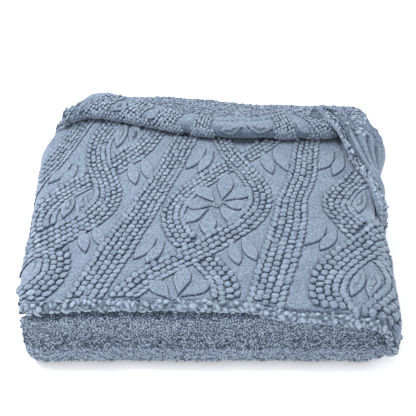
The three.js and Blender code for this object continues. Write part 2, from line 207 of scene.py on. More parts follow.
# How the top's right front corner stands off the stack and tucks in again lower down, and from what y
CORNER_FLARE = Fade(12.0, 36.0, 0.0, 10.0)
CORNER_TUCK = Fade(44.0, 76.0, 0.0, 5.0)
CORNER_FROM = Fade(112.0, 172.0)

# The corner turned up over the right side: ends of its rows on the laid-out top, and how far they sink
FLAP_ROWS = (
    (0, 256, 5, 85, 0), (1, 240, 2, 100, 0), (2, 222, -1, 112, 0), (3, 212, -2, 118, 0), (4, 205, 4, 124, 0),
    (5, 198, 22, 128, 0), (6, 190, 49, 131, 0), (7, 181, 76, 134, 0), (8, 171, 100, 139, 0),
    (9, 161, 120, 146, 0), (10, 152, 141, 155, 4), (11, 144, 160, 166, 11),
)
FLAP_EDGE = Table("row x front rear sink", *FLAP_ROWS)
FLAP_LINE = Table("x front", *(row[1:3] for row in reversed(FLAP_ROWS)))
# Its largest and least x, last row and lowest y; where it is rooted, the turn off the floor, how far
# before the cuff it starts to climb, and its height over what it lies on
FLAP_OUTER = 256.0
FLAP_TIP = 144.0
FLAP_LAST_ROW = 11
FLAP_LOWEST = -2.0
FLAP_ROOT = 177.0
FLAP_TURN = 11.0
FLAP_CLIMB = 64.0
FLAP_AIR = 1.0
FLAP_OVER_TOP = (TOP_PLY + FLAP_PLY) / 2 + PLY_GAP + FLAP_AIR
FLAP_OVER_CUFF = CUFF_TOP + HEM_RISE + (WRAP_PLY + FLAP_PLY) / 2 + PLY_GAP

# How the stack has settled
REAR_LINE = Table(
    "x back",
    (-220, -40), (-196, -16), (-176, 2), (-155, 25), (-132, 35), (-90, 37), (-50, 37), (-15, 33), (30, 26),
    (80, 19), (115, 17), (150, 18), (180, 19), (200, 20), (230, 0),
)
REAR_LINE_FROM = Fade(20.0, 192.0)
SIDE_LINE = Table(
    "y left right",
    (-190, -2, 4), (-165, -2, 4.5), (-140, -2, 10), (-95, -2, 14), (-40, -2, 13), (-5, -1, 6), (45, 0, 13),
    (100, 2, 8), (140, 5, 9), (200, 4, 18),
)
SIDE_LINE_FROM = Fade(30.0, 190.0)
SIDE_SAG = Fade(110.0, 205.0, 0.0, 0.06)
WAVE = 0.009
WAVE_X = 61.0
WAVE_Y = 79.0
WAVE_SHIFT = 0.6
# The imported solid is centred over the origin
CENTRING = (-16.698, -17.180, 0.0)

# The cloth's edges: the share of its thickness left there, and how far in it is full
EDGE_LEFT = 0.45
EDGE_ROUND = 4.0
# The rolled hem, its lumps, and the groove behind it as middle and half width
HEM_HALF = 3.9
HEM_WIDTH = 2 * HEM_HALF
HEM_PUFF = 3.0
HEM_LUMPS = 0.42
HEM_GROOVE = 2.8
GROOVE_SHAPE = (HEM_WIDTH + 1.6, 2.0)
CUFF_ROLL = 0.3
# On the left the hem lies out of sight, so the pattern runs over the edge
PLAIN_EDGE = Fade(-176.0, -156.0, 0.0, 14.0)
# The top's soft waves and creases start behind the hem and end under the cuff
SOFT_FROM = Fade(8.0, 40.0)
SOFT_TO = Fade(-16.0, 4.0, 1.0, 0.0)
# How far the floors of the beaded bands are sunk, where they start, and their banks past a band's sides
FLOOR_SINK = 2.1
FLOOR_FROM = Fade(12.0, 16.0)
FLOOR_BANK = (-2.5, 1.0)
# The front face bulges below its bend and its lumps fade in there, and both fade out at its foot
FACE_BULGE = Fade(-4.0, 22.0, 0.0, 2.6)
BULGE_TO = Fade(36.0, 60.0, 1.0, 0.3)
LUMPS_FROM = Fade(6.0, 20.0)
LUMPS_TO = Fade(40.0, 62.0, 1.0, 0.15)

# Soft waves: height, length and seed of each
TOP_WAVES = ((1.5, 105, 0.3), (0.5, 34, 1.1))
HEM_WAVE = (1.0, 13, 9.2)
CUFF_WAVE = (1.1, 46, 2.2)
FOLD_WAVE = (0.7, 31, 8.2)
FRONT_WAVE = (2.6, 74, 4.4)
FRONT_LUMPS = (0.8, 26, 5.1)
REAR_WAVES = ((1.3, 82, 6.1), (0.7, 27, 7.3))
FRONT_CLOUDS = ((0.06, 61, 2.9), (0.05, 23, 1.9))
CLUMP_WAVE = (1.0, 17, 3.3)
PIT_WAVE = (1.0, 13, 6.4)
# Leaning sines that a soft wave is made of, by direction in radians and how many fit in its length
SINES = ((0.4, 1.0), (1.7, 1.27), (2.6, 1.61), (3.9, 2.13), (5.1, 2.9))
SINES_TOTAL = 2.6
FULL_TURN = 6.283

# How light the pile is, the share of that under tufts, which paints shade into the pits between them,
# and how much darker or lighter it is by place: painted shade in the floors of the bands, the groove
# behind the hem, under the cuff, near its fold, between its beads and just under the hem, and painted
# light on the hem's lumps and at the top of the front face
PLAIN_LIT = 0.55
UNDER_HEM = 0.6
UNDER_STRIP = 0.8
UNDER_FRONT = 0.4
UNDER_REAR = 0.75
FLOOR_DARK = 0.44
GROOVE_DARK = 0.34
GROOVE_DARK_SHAPE = (HEM_WIDTH + 1.2, 1.9)
UNDER_CUFF_DARK = Fade(-4.0, 1.0, 0.0, 0.46)
HEM_LUMPS_LIT = 0.3
CUFF_FLOOR_DARK = 0.34
FOLD_DARK = Fade(2.0, 9.0, 0.0, 0.16)
FACE_TOP_LIT = Fade(2.0, 26.0, 0.1, 0.0)
UNDER_HEM_DARK = Fade(-13.0, -5.0, 0.36, 0.0)

# The fan of straight bands: x of the left and middle bands at the front, and how they lean
FAN_FRONT = -176.0
FAN_LEFT = (-130.5, 0.379)
FAN_MIDDLE = (70.5, 0.217)

# Long soft folds in the top: from, to, half width and depth, minus for a trough
CREASES = (
    (96.0, 54.0, 214.0, 40.0, 7.0, -2.6),
    (150.0, 30.0, 214.0, -22.0, 9.0, -1.8),
    (160.0, -62.0, 220.0, -120.0, 12.0, -2.0),
    (-205.0, 70.0, -120.0, 84.0, 11.0, -1.4),
    (-40.0, 20.0, 60.0, 40.0, 24.0, 1.6),
    (-190.0, -120.0, -90.0, -150.0, 26.0, 1.4),
    (20.0, -150.0, 130.0, -120.0, 26.0, 1.5),
)
# Where a crease fades in and out, as shares of its length
CREASE_FROM = Fade(-0.15, 0.25)
CREASE_TO = Fade(0.75, 1.15, 1.0, 0.0)

# Beads of the top, and their size by y, which is finer towards the rear
BEAD_PITCH = 8.9
BEAD_WIDTH = 8.3
BEAD_SCALE = Fade(-130.0, 120.0, 1.0, 0.74)
# Beads of the cuff, and its bands: x at the fold, lean and beads across
CUFF_PITCH = 4.5
CUFF_PACKING = 0.94
CUFF_BANDS = (
    (-176, 0.9, 5), (-130, 0.9, 5), (-86, 0.9, 5), (-42, 0.8, 5), (2, 0.3, 5), (104, -0.3, 5), (152, -0.8, 6)
)
CUFF_BANK = 1.0
# Rings of beads and plates: share of the outline, height and lightness, the last painting shade at their
# feet and in a dark outline round the plates, and painted light on their tops
BEAD_RINGS = ((1.0, -1.2, 0.0), (1.03, 0.9, 0.0), (1.0, 2.2, 0.26), (0.8, 3.1, 0.62), (0.0, 3.4, 0.68))
CUFF_RINGS = ((1.0, -1.0, 0.0), (1.03, 0.4, 0.0), (1.0, 1.3, 0.28), (0.8, 2.0, 0.7), (0.0, 2.3, 0.8))
PLATE_RINGS = (
    (1.10, -1.5, 0.0), (1.10, 0.5, 0.0), (1.025, 0.6, 0.0), (1.0, 1.7, 0.42), (0.9, 2.7, 0.72),
    (0.8, 2.8, 0.58), (0.45, 2.8, 0.56), (0.0, 2.8, 0.56),
)
# Petals: how much longer they are to the front and rear and how fast that fades; how far out their
# middles lie and half their length, as shares of their reach; share of the room that they fill
PETAL_STRETCH = 0.5
PETAL_FADE = 1.5
PETAL_OUT = 0.6
PETAL_HALF = 0.42
PETAL_WIDTH = 0.68
PETAL_FULLNESS = 0.6
# Leaves: how far off its middle line each half lies, as a share of the width, and how far it turns out
LEAF_HALVES = 0.56
LEAF_SPREAD = 4.0
LEAF_FULLNESS = 0.46


def ripple(x: Array, y: Array, length: float, seed: float) -> Array:
    """Soft uneven waves between about -1 and 1, made of leaning sines.

    Args:
        x: First coordinate.
        y: Second coordinate.
        length: Length of the longest wave.
        seed: Shifts the waves.

    Returns:
        Height of the waves at each place.
    """
    total = np.zeros(np.broadcast(x, y).shape)
    for turn, (lean, scale) in enumerate(SINES):
        cos, sin = math.cos(lean + seed), math.sin(lean + seed)
        along, across = x * cos + y * sin, y * cos - x * sin
        # Odd shifts, so that no two sines line up
        bend = 1.3 * np.sin(across / length * 2.1 + seed * 3 + turn)
        total += np.sin(along * scale * FULL_TURN / length + bend + seed * 7 + turn * 2.4) / scale
    return total / SINES_TOTAL


def ripples(x: Array, y: Array, *waves: tuple[float, float, float]) -> Array:
    """Soft uneven waves added up, each given by its height, length and seed."""
    return sum(height * ripple(x, y, length, seed) for height, length, seed in waves)


def drape(x: Array, y: Array, height: Array) -> Array:
    """Points of cloth laid over the soft box.

    Args:
        x: Place across, as if the cloth were flat.
        y: Place to the rear, as if the cloth were flat.
        height: Height over the centre line of the top.

    Returns:
        Points as rows of x, y and z.
    """
    past_x = np.maximum(np.abs(x) - SIDE_BEND, 0)
    past_y = np.maximum(np.maximum(FRONT_BEND - y, y - REAR_BEND), 0)
    past = np.hypot(past_x, past_y)
    angle = np.minimum(past / TOP_BEND, math.pi / 2)
    fall = np.maximum(past - QUARTER_BEND, 0)
    out = np.where(past > 0, (TOP_BEND + height) * np.sin(angle) / np.maximum(past, 1e-9), 0)
    laid_x = np.clip(x, -SIDE_BEND, SIDE_BEND) + np.sign(x) * past_x * out
    laid_y = np.clip(y, FRONT_BEND, REAR_BEND) + np.sign(y) * past_y * out
    laid_z = TOP_LEVEL - TOP_BEND + (TOP_BEND + height) * np.cos(angle) - fall
    return np.stack([laid_x, laid_y, laid_z], -1)


def face_drape(x: Array, y: Array, height: Array) -> Array:
    """Points of the front face, which runs straight across and curls to the rear at its ends."""
    points = drape(np.zeros_like(x), y, height)
    share = np.clip((FRONT_BEND - y) / QUARTER_BEND, 0, 1)
    return np.stack([x, points[..., 1] + FACE_CURL.at(np.abs(x)) * share, points[..., 2]], -1)


def settle(points: Array) -> Array:
    """Settled and centred places of points of the even stack."""
    x, y, z = points[..., 0], points[..., 1], points[..., 2]
    outward = np.where(x < 0, SIDE_LINE.at(y, "left"), SIDE_LINE.at(y, "right"))
    outward = outward * SIDE_LINE_FROM.at(np.abs(x))
    sag = 1 - SIDE_SAG.at(np.abs(x))
    wave = 1 + WAVE * np.sin(x / WAVE_X + WAVE_SHIFT) * np.cos(y / WAVE_Y)
    placed = [x + np.sign(x) * outward, y + REAR_LINE.at(x) * REAR_LINE_FROM.at(y), z * sag * wave]
    return np.stack(placed, -1) + np.array(CENTRING)


def roll(edge: Array, half: float, puff: float) -> Array:
    """Height of a rolled edge by distance from the edge of the cloth."""
    return puff * np.sqrt(np.clip(1 - ((edge - half) / half) ** 2, 0, 1))


def hem_roll(edge: Array) -> Array:
    """Height of the rolled hem by distance from the edge of the cloth, with the groove behind it."""
    return roll(edge, HEM_HALF, HEM_PUFF) - HEM_GROOVE * bump(edge, *GROOVE_SHAPE)


def rounding(edge: Array) -> Array:
    """Share of the cloth's thickness left near its edge."""
    near = np.clip(edge / EDGE_ROUND, 0, 1)
    return mix(EDGE_LEFT, 1, np.sqrt(np.clip(1 - (1 - near) ** 2, 0, 1)))


def fan_x(cell: Array | float, y: Array) -> Array:
    """Place across of a line of the pattern's fan, where 0 is the left band and 1 the middle one."""
    left, middle = (start + lean * (y - FAN_FRONT) for start, lean in (FAN_LEFT, FAN_MIDDLE))
    return left + cell * (middle - left)


@dataclass(frozen=True)
class Band:
    """A band of beads along the fan.

    Attributes:
        cell: Its middle line in the fan.
        swing: How far it swings to the right of the line, in fan units.
        period: Length of a half swing, so of one oval between two mirrored bands.
        centre: Place of the widest swing.
        beads: Number of beads across.
    """

    cell: float
    swing: float = 0.0
    period: float = 1.0
    centre: float = 0.0
    beads: int = 5

    def line(self, y: Array) -> Array:
        """Place across of the band's middle line."""
        return fan_x(self.cell + self.swing * np.cos(math.pi * (y - self.centre) / self.period), y)

    def distance(self, x: Array, y: Array) -> Array:
        """Distance of places from the band's middle line."""
        slope = self.line(y + 0.5) - self.line(y - 0.5)
        return np.abs(x - self.line(y)) / np.sqrt(1 + slope**2)


@dataclass(frozen=True)
class Ovals:
    """A row of ovals along the fan, between two mirrored bands.

    Attributes:
        cell: Their middle line in the fan.
        centre: Middle of the one in the middle.
        period: Length of each.
        swing: Half their width, in fan units.
        crossing: How far to the sides the leaves lie where the bands cross, in fan units.
        beads: Number of beads across each band.
        leaf: Whether each holds a leaf.
    """

    cell: float
    centre: float
    period: float
    swing: float
    crossing: float
    beads: int = 5
    leaf: bool = True

    def bands(self) -> list[Band]:
        """The two bands."""
        return [Band(self.cell, s * self.swing, self.period, self.centre, self.beads) for s in (1, -1)]


OVALS = (
    Ovals(-0.5, -8, 126, 0.20, 0.29),
    Ovals(0.5, -10, 168, 0.285, 0.28, beads=4, leaf=False),
    Ovals(1.5, 2, 145, 0.20, 0.29),
)
BANDS = (Band(-1), Band(0), Band(1), *(band for ovals in OVALS for band in ovals.bands()))


def top_edge(x: Array, y: Array) -> Array:
    """Distance of places on the top from the cloth's nearest edge."""
    front = y - (FRONT_BEND - FRONT_HEM.at(x))
    left = x + SIDE_BEND + TOP_SIDES.at(y, "left") + PLAIN_EDGE.at(y)
    right = SIDE_BEND + TOP_SIDES.at(y, "right") - x
    return np.minimum(front, np.minimum(left, right))


def crease_height(x: Array, y: Array) -> Array:
    """Height of the top's long soft folds."""
    total = np.zeros(np.broadcast(x, y).shape)
    for from_x, from_y, to_x, to_y, half, depth in CREASES:
        run = np.array([to_x - from_x, to_y - from_y])
        length = np.hypot(*run)
        share = ((x - from_x) * run[0] + (y - from_y) * run[1]) / length**2
        away = np.abs((x - from_x) * run[1] - (y - from_y) * run[0]) / length
        fade = CREASE_FROM.at(share) * CREASE_TO.at(share)
        total += depth * bump(away, 0, half) * fade
    return total


def band_floor(x: Array, y: Array) -> Array:
    """Share from 0 to 1 of being on the sunken floor of a beaded band."""
    inside = np.zeros(np.broadcast(x, y).shape)
    for band in BANDS:
        half = band.beads * BEAD_WIDTH / 2 * BEAD_SCALE.at(y)
        inside = np.maximum(inside, 1 - ramp(band.distance(x, y), *(half + bank for bank in FLOOR_BANK)))
    return inside * FLOOR_FROM.at(top_edge(x, y))


def corner_flare(x: Array, y: Array) -> Array:
    """How far the top's right front corner stands off the stack where it hangs."""
    past = np.hypot(np.maximum(x - SIDE_BEND, 0), np.maximum(FRONT_BEND - y, 0))
    return (CORNER_FLARE.at(x - SIDE_BEND) - CORNER_TUCK.at(past)) * CORNER_FROM.at(-y)


def top_relief(x: Array, y: Array) -> Array:
    """Relief of the patterned top over its plain thickness."""
    edge = top_edge(x, y)
    soft = ripples(x, y, *TOP_WAVES) + crease_height(x, y)
    soft = soft * SOFT_FROM.at(edge) * SOFT_TO.at(y - CUFF_FOLD.at(x))
    lumpy = 1 + HEM_LUMPS * ripples(x, y, HEM_WAVE)
    return hem_roll(edge) * lumpy + soft - FLOOR_SINK * band_floor(x, y)


def top_point(x: Array, y: Array, height: Array) -> Array:
    """Points at a height over the surface of the top."""
    return settle(drape(x, y, TOP_PLY / 2 + corner_flare(x, y) + top_relief(x, y) + height))


def cuff_floor(x: Array, run: Array) -> Array:
    """Share from 0 to 1 of being between the beads of the cuff, by distance from its fold."""
    inside = np.zeros(np.broadcast(x, run).shape)
    for start, lean, count in CUFF_BANDS:
        half = count * CUFF_PITCH * CUFF_PACKING / 2
        away = np.abs(x - start - lean * run) / math.hypot(1, lean)
        inside = np.maximum(inside, 1 - ramp(away, half - CUFF_BANK, half + CUFF_BANK))
    return inside


def cuff_relief(x: Array, y: Array) -> Array:
    """Relief of the turned-back cuff."""
    return CUFF_ROLL * hem_roll(np.clip(CUFF_HEM.at(x) - y, 0, None)) + ripples(x, y, CUFF_WAVE)


def cuff_point(x: Array, run: Array, height: Array) -> Array:
    """Points at a height over the cuff, by distance from the top of its fold, minus for round the fold."""
    radius = CUFF_RADIUS + WRAP_PLY / 2 + height
    turn = np.clip(-run / (CUFF_RADIUS + WRAP_PLY / 2), 0, math.pi)
    fold, middle = CUFF_FOLD.at(x), (OVER_TOP + CUFF_TOP) / 2
    y = fold + np.maximum(run, 0) - radius * np.sin(turn)
    level = middle + radius * np.cos(turn) + np.where(run > 0, cuff_relief(x, y), 0)
    return settle(drape(x, y, level))


class Zone(Enum):
    """Parts of the folded sheet in the order in which it runs, then of the turned-up corner and the hem."""

    TOP = 0
    HIDDEN = 1
    FRONT = 2
    REAR = 3
    CUFF = 4
    FLAP = 5
    STRIP = 6
    HEM = 7


# Zones whose patterned side faces out
PATTERNED = (Zone.TOP, Zone.CUFF)


def zone_relief(zone: Zone, x: Array, y: Array, face: Array) -> Array:
    """Height that a zone's relief adds to its outward face."""
    if zone is Zone.TOP:
        return np.where(face > 0, top_relief(x, y), 0) + corner_flare(x, y)
    if zone is Zone.CUFF:
        return np.where(face > 0, cuff_relief(x, y), 0)
    if zone is Zone.FRONT:
        down = FRONT_BEND - QUARTER_BEND - y
        lumps = ripples(x, y, FRONT_WAVE) * LUMPS_FROM.at(down) + ripples(x, y, FRONT_LUMPS)
        return np.where(face < 0, FACE_BULGE.at(down) * BULGE_TO.at(down) + lumps * LUMPS_TO.at(down), 0)
    if zone is Zone.REAR:
        return np.where(face < 0, ripples(x, y, *REAR_WAVES), 0)
    return np.zeros(np.broadcast(x, y).shape)


def zone_shade(zone: Zone, x: Array, y: Array, face: Array) -> Array:
    """How light the pile is: painted shade down in gaps, grooves and under the hem and the cuff, and painted
    light on the hem's lumps and the top of the front face.
    """
    plain = np.full(np.broadcast(x, y).shape, PLAIN_LIT)
    past_fold = y - CUFF_FOLD.at(x)
    if zone is Zone.TOP:
        edge = top_edge(x, y)
        # Painted shade in the band floors, the groove behind the hem and under the cuff, painted light and
        # shade on the hem's lumps, and painted shade under the hem's tufts
        lit = plain - FLOOR_DARK * band_floor(x, y) - GROOVE_DARK * bump(edge, *GROOVE_DARK_SHAPE)
        lit = lit - UNDER_CUFF_DARK.at(past_fold + CUFF_RADIUS + WRAP_PLY / 2)
        on_hem = 1 - ramp(edge, HEM_WIDTH - 1, HEM_WIDTH + 1)
        lit = lit * (1 + HEM_LUMPS_LIT * ripples(x, y, HEM_WAVE) * on_hem)
        return np.where(face > 0, lit, plain) * mix(UNDER_HEM, 1, ramp(edge, HEM_WIDTH - 2, HEM_WIDTH))
    if zone is Zone.CUFF:
        # Painted shade near the fold and between the cuff's beads
        lit = plain - FOLD_DARK.at(-past_fold) - CUFF_FLOOR_DARK * cuff_floor(x, past_fold)
        return np.where(face > 0, lit, plain)
    if zone is Zone.FRONT:
        down = FRONT_BEND - QUARTER_BEND - y
        # Painted light at the top of the front face and painted shade just under the hem, then painted shade
        # under its curls
        lit = plain + ripples(x, y, *FRONT_CLOUDS) + FACE_TOP_LIT.at(down) - UNDER_HEM_DARK.at(down)
        return np.where(face < 0, lit * UNDER_FRONT, plain)
    # Painted shade under the rear curls
    return np.where(face < 0, plain * UNDER_REAR, plain) if zone is Zone.REAR else plain


# Columns of the sheet: where the closer ones at the side bends start, and how many there are
KNEE = SIDE_BEND - 6
END_MARGIN = 8.0
MIDDLE_COLUMNS = 40
BEND_COLUMNS = 6
END_COLUMNS = 4
# The bend takes up at most this share of a row's end, and the last column is at most this wide, or this
# share of what is left
BEND_SHARE = 0.6
LAST_COLUMN = 2.4
LAST_SHARE = 0.2


@dataclass
class Row:
    """A row across the cloth.

    Attributes:
        zone: Part of the sheet that the row belongs to.
        left: How far it reaches past the left bend.
        right: How far it reaches past the right bend.
        lay: For laid-over cloth: y and height over the top's centre line, from x and face.
        place: For cloth inside the stack: points, from x and face.
        surface: What the laid-over cloth lies on.
    """

    zone: Zone
    left: float
    right: float
    lay: Callable[[Array, Array], tuple[Array, Array]] | None = None
    place: Callable[[Array, Array], Array] | None = None
    surface: Callable[[Array, Array, Array], Array] = drape

    def places(self) -> Array:
        """Places of the row's columns."""
        middle = np.linspace(-knee_of(self.left), knee_of(self.right), MIDDLE_COLUMNS + 1)
        return np.concatenate([-side_places(self.left)[::-1], middle, side_places(self.right)])

    def edge(self, x: Array) -> Array:
        """Distance from the row's nearer end."""
        return np.minimum(x + SIDE_BEND + self.left, SIDE_BEND + self.right - x)

    def points(self, x: Array, face: Array) -> Array:
        """Unsettled points of the row."""
        if self.place:
            return self.place(x, face * rounding(self.edge(x)))
        y, height = self.lay(x, face * rounding(self.edge(x)))
        return self.surface(x, y, height + zone_relief(self.zone, x, y, face))


def knee_of(reach: float) -> float:
    """Where the middle of a row gives way to the closer columns at its side bend."""
    return min(KNEE, SIDE_BEND + reach - END_MARGIN)


def side_places(reach: float) -> Array:
    """Places of the columns from the knee of a side bend out to the cloth's edge."""
    knee = knee_of(reach)
    span = SIDE_BEND + reach - knee
    span = SIDE_BEND + reach - knee
    bend = min(SIDE_BEND - KNEE + QUARTER_BEND, BEND_SHARE * span)
    inner = knee + bend * np.arange(1, BEND_COLUMNS + 1) / BEND_COLUMNS
    last = span - min(LAST_COLUMN, LAST_SHARE * (span - bend))
    return np.concatenate([inner, np.linspace(knee + bend, knee + last, END_COLUMNS)[1:], [knee + span]])


def laid_row(
    zone: Zone, y: Callable[[Array], Array] | float, height: float, up: int, ply: float, left: float,
    right: float,
) -> Row:
    """A row of laid-over cloth.

    Args:
        zone: Part of the sheet.
        y: Laid-out y, or a function of x that gives it.
        height: Height over the top's centre line.
        up: 1 where the patterned side faces out and -1 where the curly side does.
        ply: Thickness.
        left: Reach past the left bend.
        right: Reach past the right bend.

    Returns:
        The row.
    """

    def lay(x: Array, face: Array) -> tuple[Array, Array]:
        return (y(x) if callable(y) else np.full_like(x, y)), height + up * face * ply / 2

    return Row(zone, float(left), float(right), lay=lay)


def inner_row(y: float, z: float, travel: float, ply: float, left: float, right: float, zone: Zone) -> Row:
    """A row of cloth inside or under the stack, where travel is the way the sheet runs."""
    normal_y, normal_z = -math.sin(travel), math.cos(travel)

    def place(x: Array, face: Array) -> Array:
        return np.stack([x, y + face * normal_y * ply / 2, z + face * normal_z * ply / 2], -1)

    return Row(zone, float(left), float(right), place=place)


def arc_rows(
    y: float, z: float, radius: float, turn: tuple[float, float], steps: int, ply: tuple[float, float],
    left: tuple[float, float], right: tuple[float, float], zone: Zone = Zone.HIDDEN,
) -> list[Row]:
    """Rows round an arc, its ends included. Pairs are values at its start and end.

    Args:
        y: Centre of the arc.
        z: Centre of the arc.
        radius: Radius of the cloth's centre line.
        turn: Travel angles.
        steps: Number of steps.
        ply: Thicknesses.
        left: Reaches past the left bend.
        right: Reaches past the right bend.
        zone: Part of the sheet.

    Returns:
        The rows in order.
    """
    side = math.copysign(1, turn[1] - turn[0])
    rows = []
    for step in range(steps + 1):
        share = step / steps
        travel = mix(*turn, share)
        rows.append(
            inner_row(
                y + side * radius * math.sin(travel), z - side * radius * math.cos(travel), travel,
                mix(*ply, share), mix(*left, share), mix(*right, share), zone,
            )
        )
    return rows


def front_face_y(z: float) -> float:
    """Laid-out y of a height on the front face."""
    return FRONT_BEND - QUARTER_BEND - (TOP_LEVEL - TOP_BEND - z)


def rear_face_y(z: float) -> float:
    """Laid-out y of a height on the rear face."""
    return REAR_BEND + QUARTER_BEND + (TOP_LEVEL - TOP_BEND - z)
# Rows of the sheet: distances from the front hem and number of even rows behind them, places on inner
# plies, and shares of the way down and back up each part
HEM_ROWS = (0, 0.6, 1.6, 3, 5, 7.5, 10, 12, 14, 16, 19, 24, 30)
EVEN_ROWS = 38
HEM_PAST = 14.0
INNER_ROWS = (60, 0, -60)
BASE_ROWS = (-110, -60, 0, 60, 110)
BASE_ENDS = 7
FOLD_STEPS = 5
REAR_TURN_STEPS = 7
DOWN_SHARES = (0.25, 0.5, 0.75, 1)
BEND_ROWS = 7
FACE_SHARES = (0.1, 0.25, 0.4, 0.55, 0.7, 0.85)
FACE_SWELLS = Fade(0.4, 1.0)
FRONT_TURN_ROWS = 10
REAR_SHARES = (0.2, 0.4, 0.6, 0.8)
OVER_SHARES = (0, 0.1, 0.2, 0.3, 0.4, 0.55, 0.7, 0.85, 1)
OVER_RUN = 80
CUFF_TURN_STEPS = 10
FOLD_RADIAN = 9
CUFF_SHARES = (0, 0.12, 0.26, 0.4, 0.54, 0.68, 0.8, 0.9, 0.97, 1)
CUFF_DEPTH = 40


def ends_at(table: Table, place: float) -> tuple[float, float]:
    """How far a row reaches past the left and right bends."""
    return float(table.at(place, "left")), float(table.at(place, "right"))


def top_rows() -> list[Row]:
    """The patterned top, from its front hem to the rear bend."""
    length = REAR_BEND - FRONT_BEND + HEM_PAST
    near = np.array(HEM_ROWS) / length
    rows = []
    for share in np.concatenate([near, np.linspace(near[-1], 1, EVEN_ROWS)[1:]]):
        middle = mix(FRONT_BEND - HEM_PAST, REAR_BEND, share)
        ply = TOP_PLY * float(rounding(np.array(share * length)))
        line = lambda x, share=share: mix(FRONT_BEND - FRONT_HEM.at(x), REAR_BEND, share)
        rows.append(laid_row(Zone.TOP, line, 0, 1, ply, *ends_at(TOP_SIDES, middle)))
    return rows


def inside_rows() -> list[Row]:
    """The top's rear end turned down inside the rear face, and the back and forth of the inner plies."""
    hidden, same, none = Zone.HIDDEN, (INNER_PLY, INNER_PLY), (0, 0)
    rows = [
        laid_row(hidden, REAR_BEND + QUARTER_BEND * share, 0, 1, mix(TOP_PLY, INNER_PLY, share), 0, 0)
        for share in DOWN_SHARES
    ]
    turn_top = FIRST_INNER + INNER_TURN
    middle = (TOP_LEVEL - TOP_BEND + turn_top) / 2
    rows.append(laid_row(hidden, rear_face_y(middle), 0, 1, INNER_PLY, 0, 0))
    turn_y = REAR_BEND + TOP_BEND - INNER_TURN
    rows += arc_rows(turn_y, turn_top, INNER_TURN, (-math.pi / 2, -math.pi), FOLD_STEPS, same, none, none)
    for ply, (left, right) in enumerate(INNER_PLIES):
        forward = ply % 2 == 0
        level = FIRST_INNER + INNER_PITCH * ply
        for y in INNER_ROWS if forward else INNER_ROWS[::-1]:
            rows.append(inner_row(y, level, -math.pi if forward else 0, INNER_PLY, left, right, hidden))
        inset = (FRONT_FOLDS if forward else REAR_FOLDS).get(ply)
        if inset is not None:
            turn = (-math.pi, -2 * math.pi) if forward else (0, math.pi)
            bend = FRONT_BEND if forward else REAR_BEND
            ends = (FRONT_FOLD_ENDS,) * 2 if forward else none
            half = INNER_PITCH / 2
            rows += arc_rows(bend + inset, level + half, half, turn, FOLD_STEPS, same, ends, ends)
    return rows


def face_row(y: float, height: float, ply: float, share: float) -> Row:
    """A row of the front face, at a share of the way down it."""

    def lay(x: Array, face: Array) -> tuple[Array, Array]:
        return np.full_like(x, y), height - face * ply / 2

    return Row(Zone.FRONT, *ends_at(FACE_ENDS, share), lay=lay, surface=face_drape)


def front_rows() -> list[Row]:
    """The curly front face, from the ply under the top down to the base."""
    rows = [
        face_row(FRONT_BEND - QUARTER_BEND * share, UNDER_TOP, INNER_PLY, share)
        for share in np.linspace(0, 1, BEND_ROWS)
    ]
    face_top, turn_top = TOP_LEVEL - TOP_BEND, BASE_LEVEL + FRONT_TURN
    for share in FACE_SHARES:
        swell = float(FACE_SWELLS.at(np.array(share)))
        ply = mix(INNER_PLY, BASE_PLY, swell)
        level = UNDER_TOP + FRONT_SWELL * swell
        rows.append(face_row(front_face_y(mix(face_top, turn_top, share)), level, ply, 1 + share))
    return rows + [front_turn_row(step / (FRONT_TURN_ROWS - 1)) for step in range(FRONT_TURN_ROWS)]


def front_turn_row(share: float) -> Row:
    """A row round the turn from the front face under to the base."""
    angle = math.pi / 2 * share
    centre_y = FRONT_BEND - TOP_BEND - UNDER_TOP - FRONT_SWELL + FRONT_TURN
    centre_z = BASE_LEVEL + FRONT_TURN

    def place(x: Array, face: Array) -> Array:
        down = front_face_y(centre_z) - FRONT_TURN * angle
        lift = zone_relief(Zone.FRONT, x, np.full_like(x, down), face) * math.cos(angle) ** 0.5
        radius = FRONT_TURN - face * BASE_PLY / 2 + lift
        curl = FACE_CURL.at(np.abs(x)) * (1 - share)
        y, z = centre_y + curl - radius * math.cos(angle), centre_z - radius * math.sin(angle)
        return np.stack([x, y, z], -1)

    ends = (mix(low, under, share) for low, under in zip(ends_at(FACE_ENDS, 2), UNDER_ENDS))
    return Row(Zone.FRONT, *ends, place=place)


def rear_rows() -> list[Row]:
    """The base, the rear face and the cloth that comes forward over the top to the cuff."""
    rows = [inner_row(y, BASE_LEVEL, 0, BASE_PLY, BASE_ENDS, BASE_ENDS, Zone.HIDDEN) for y in BASE_ROWS]
    turn_y, turn_top = REAR_BEND + TOP_BEND + OVER_TOP - REAR_TURN, BASE_LEVEL + REAR_TURN
    rows += arc_rows(
        turn_y, turn_top, REAR_TURN, (0, math.pi / 2), REAR_TURN_STEPS, (BASE_PLY, WRAP_PLY), (0, 0), (0, 0),
        Zone.REAR,
    )
    face_top = TOP_LEVEL - TOP_BEND

    def rear_row(y: Callable[[Array], Array] | float, run: float) -> Row:
        return laid_row(Zone.REAR, y, OVER_TOP, -1, WRAP_PLY, *ends_at(REAR_SIDES, run))

    for share in REAR_SHARES:
        z = mix(turn_top, face_top, share)
        rows.append(rear_row(rear_face_y(z), z - turn_top))
    for share in OVER_SHARES:
        line = lambda x, share=share: mix(REAR_BEND + QUARTER_BEND, CUFF_FOLD.at(x), share)
        rows.append(rear_row(line, face_top - turn_top + share * OVER_RUN))
    return rows


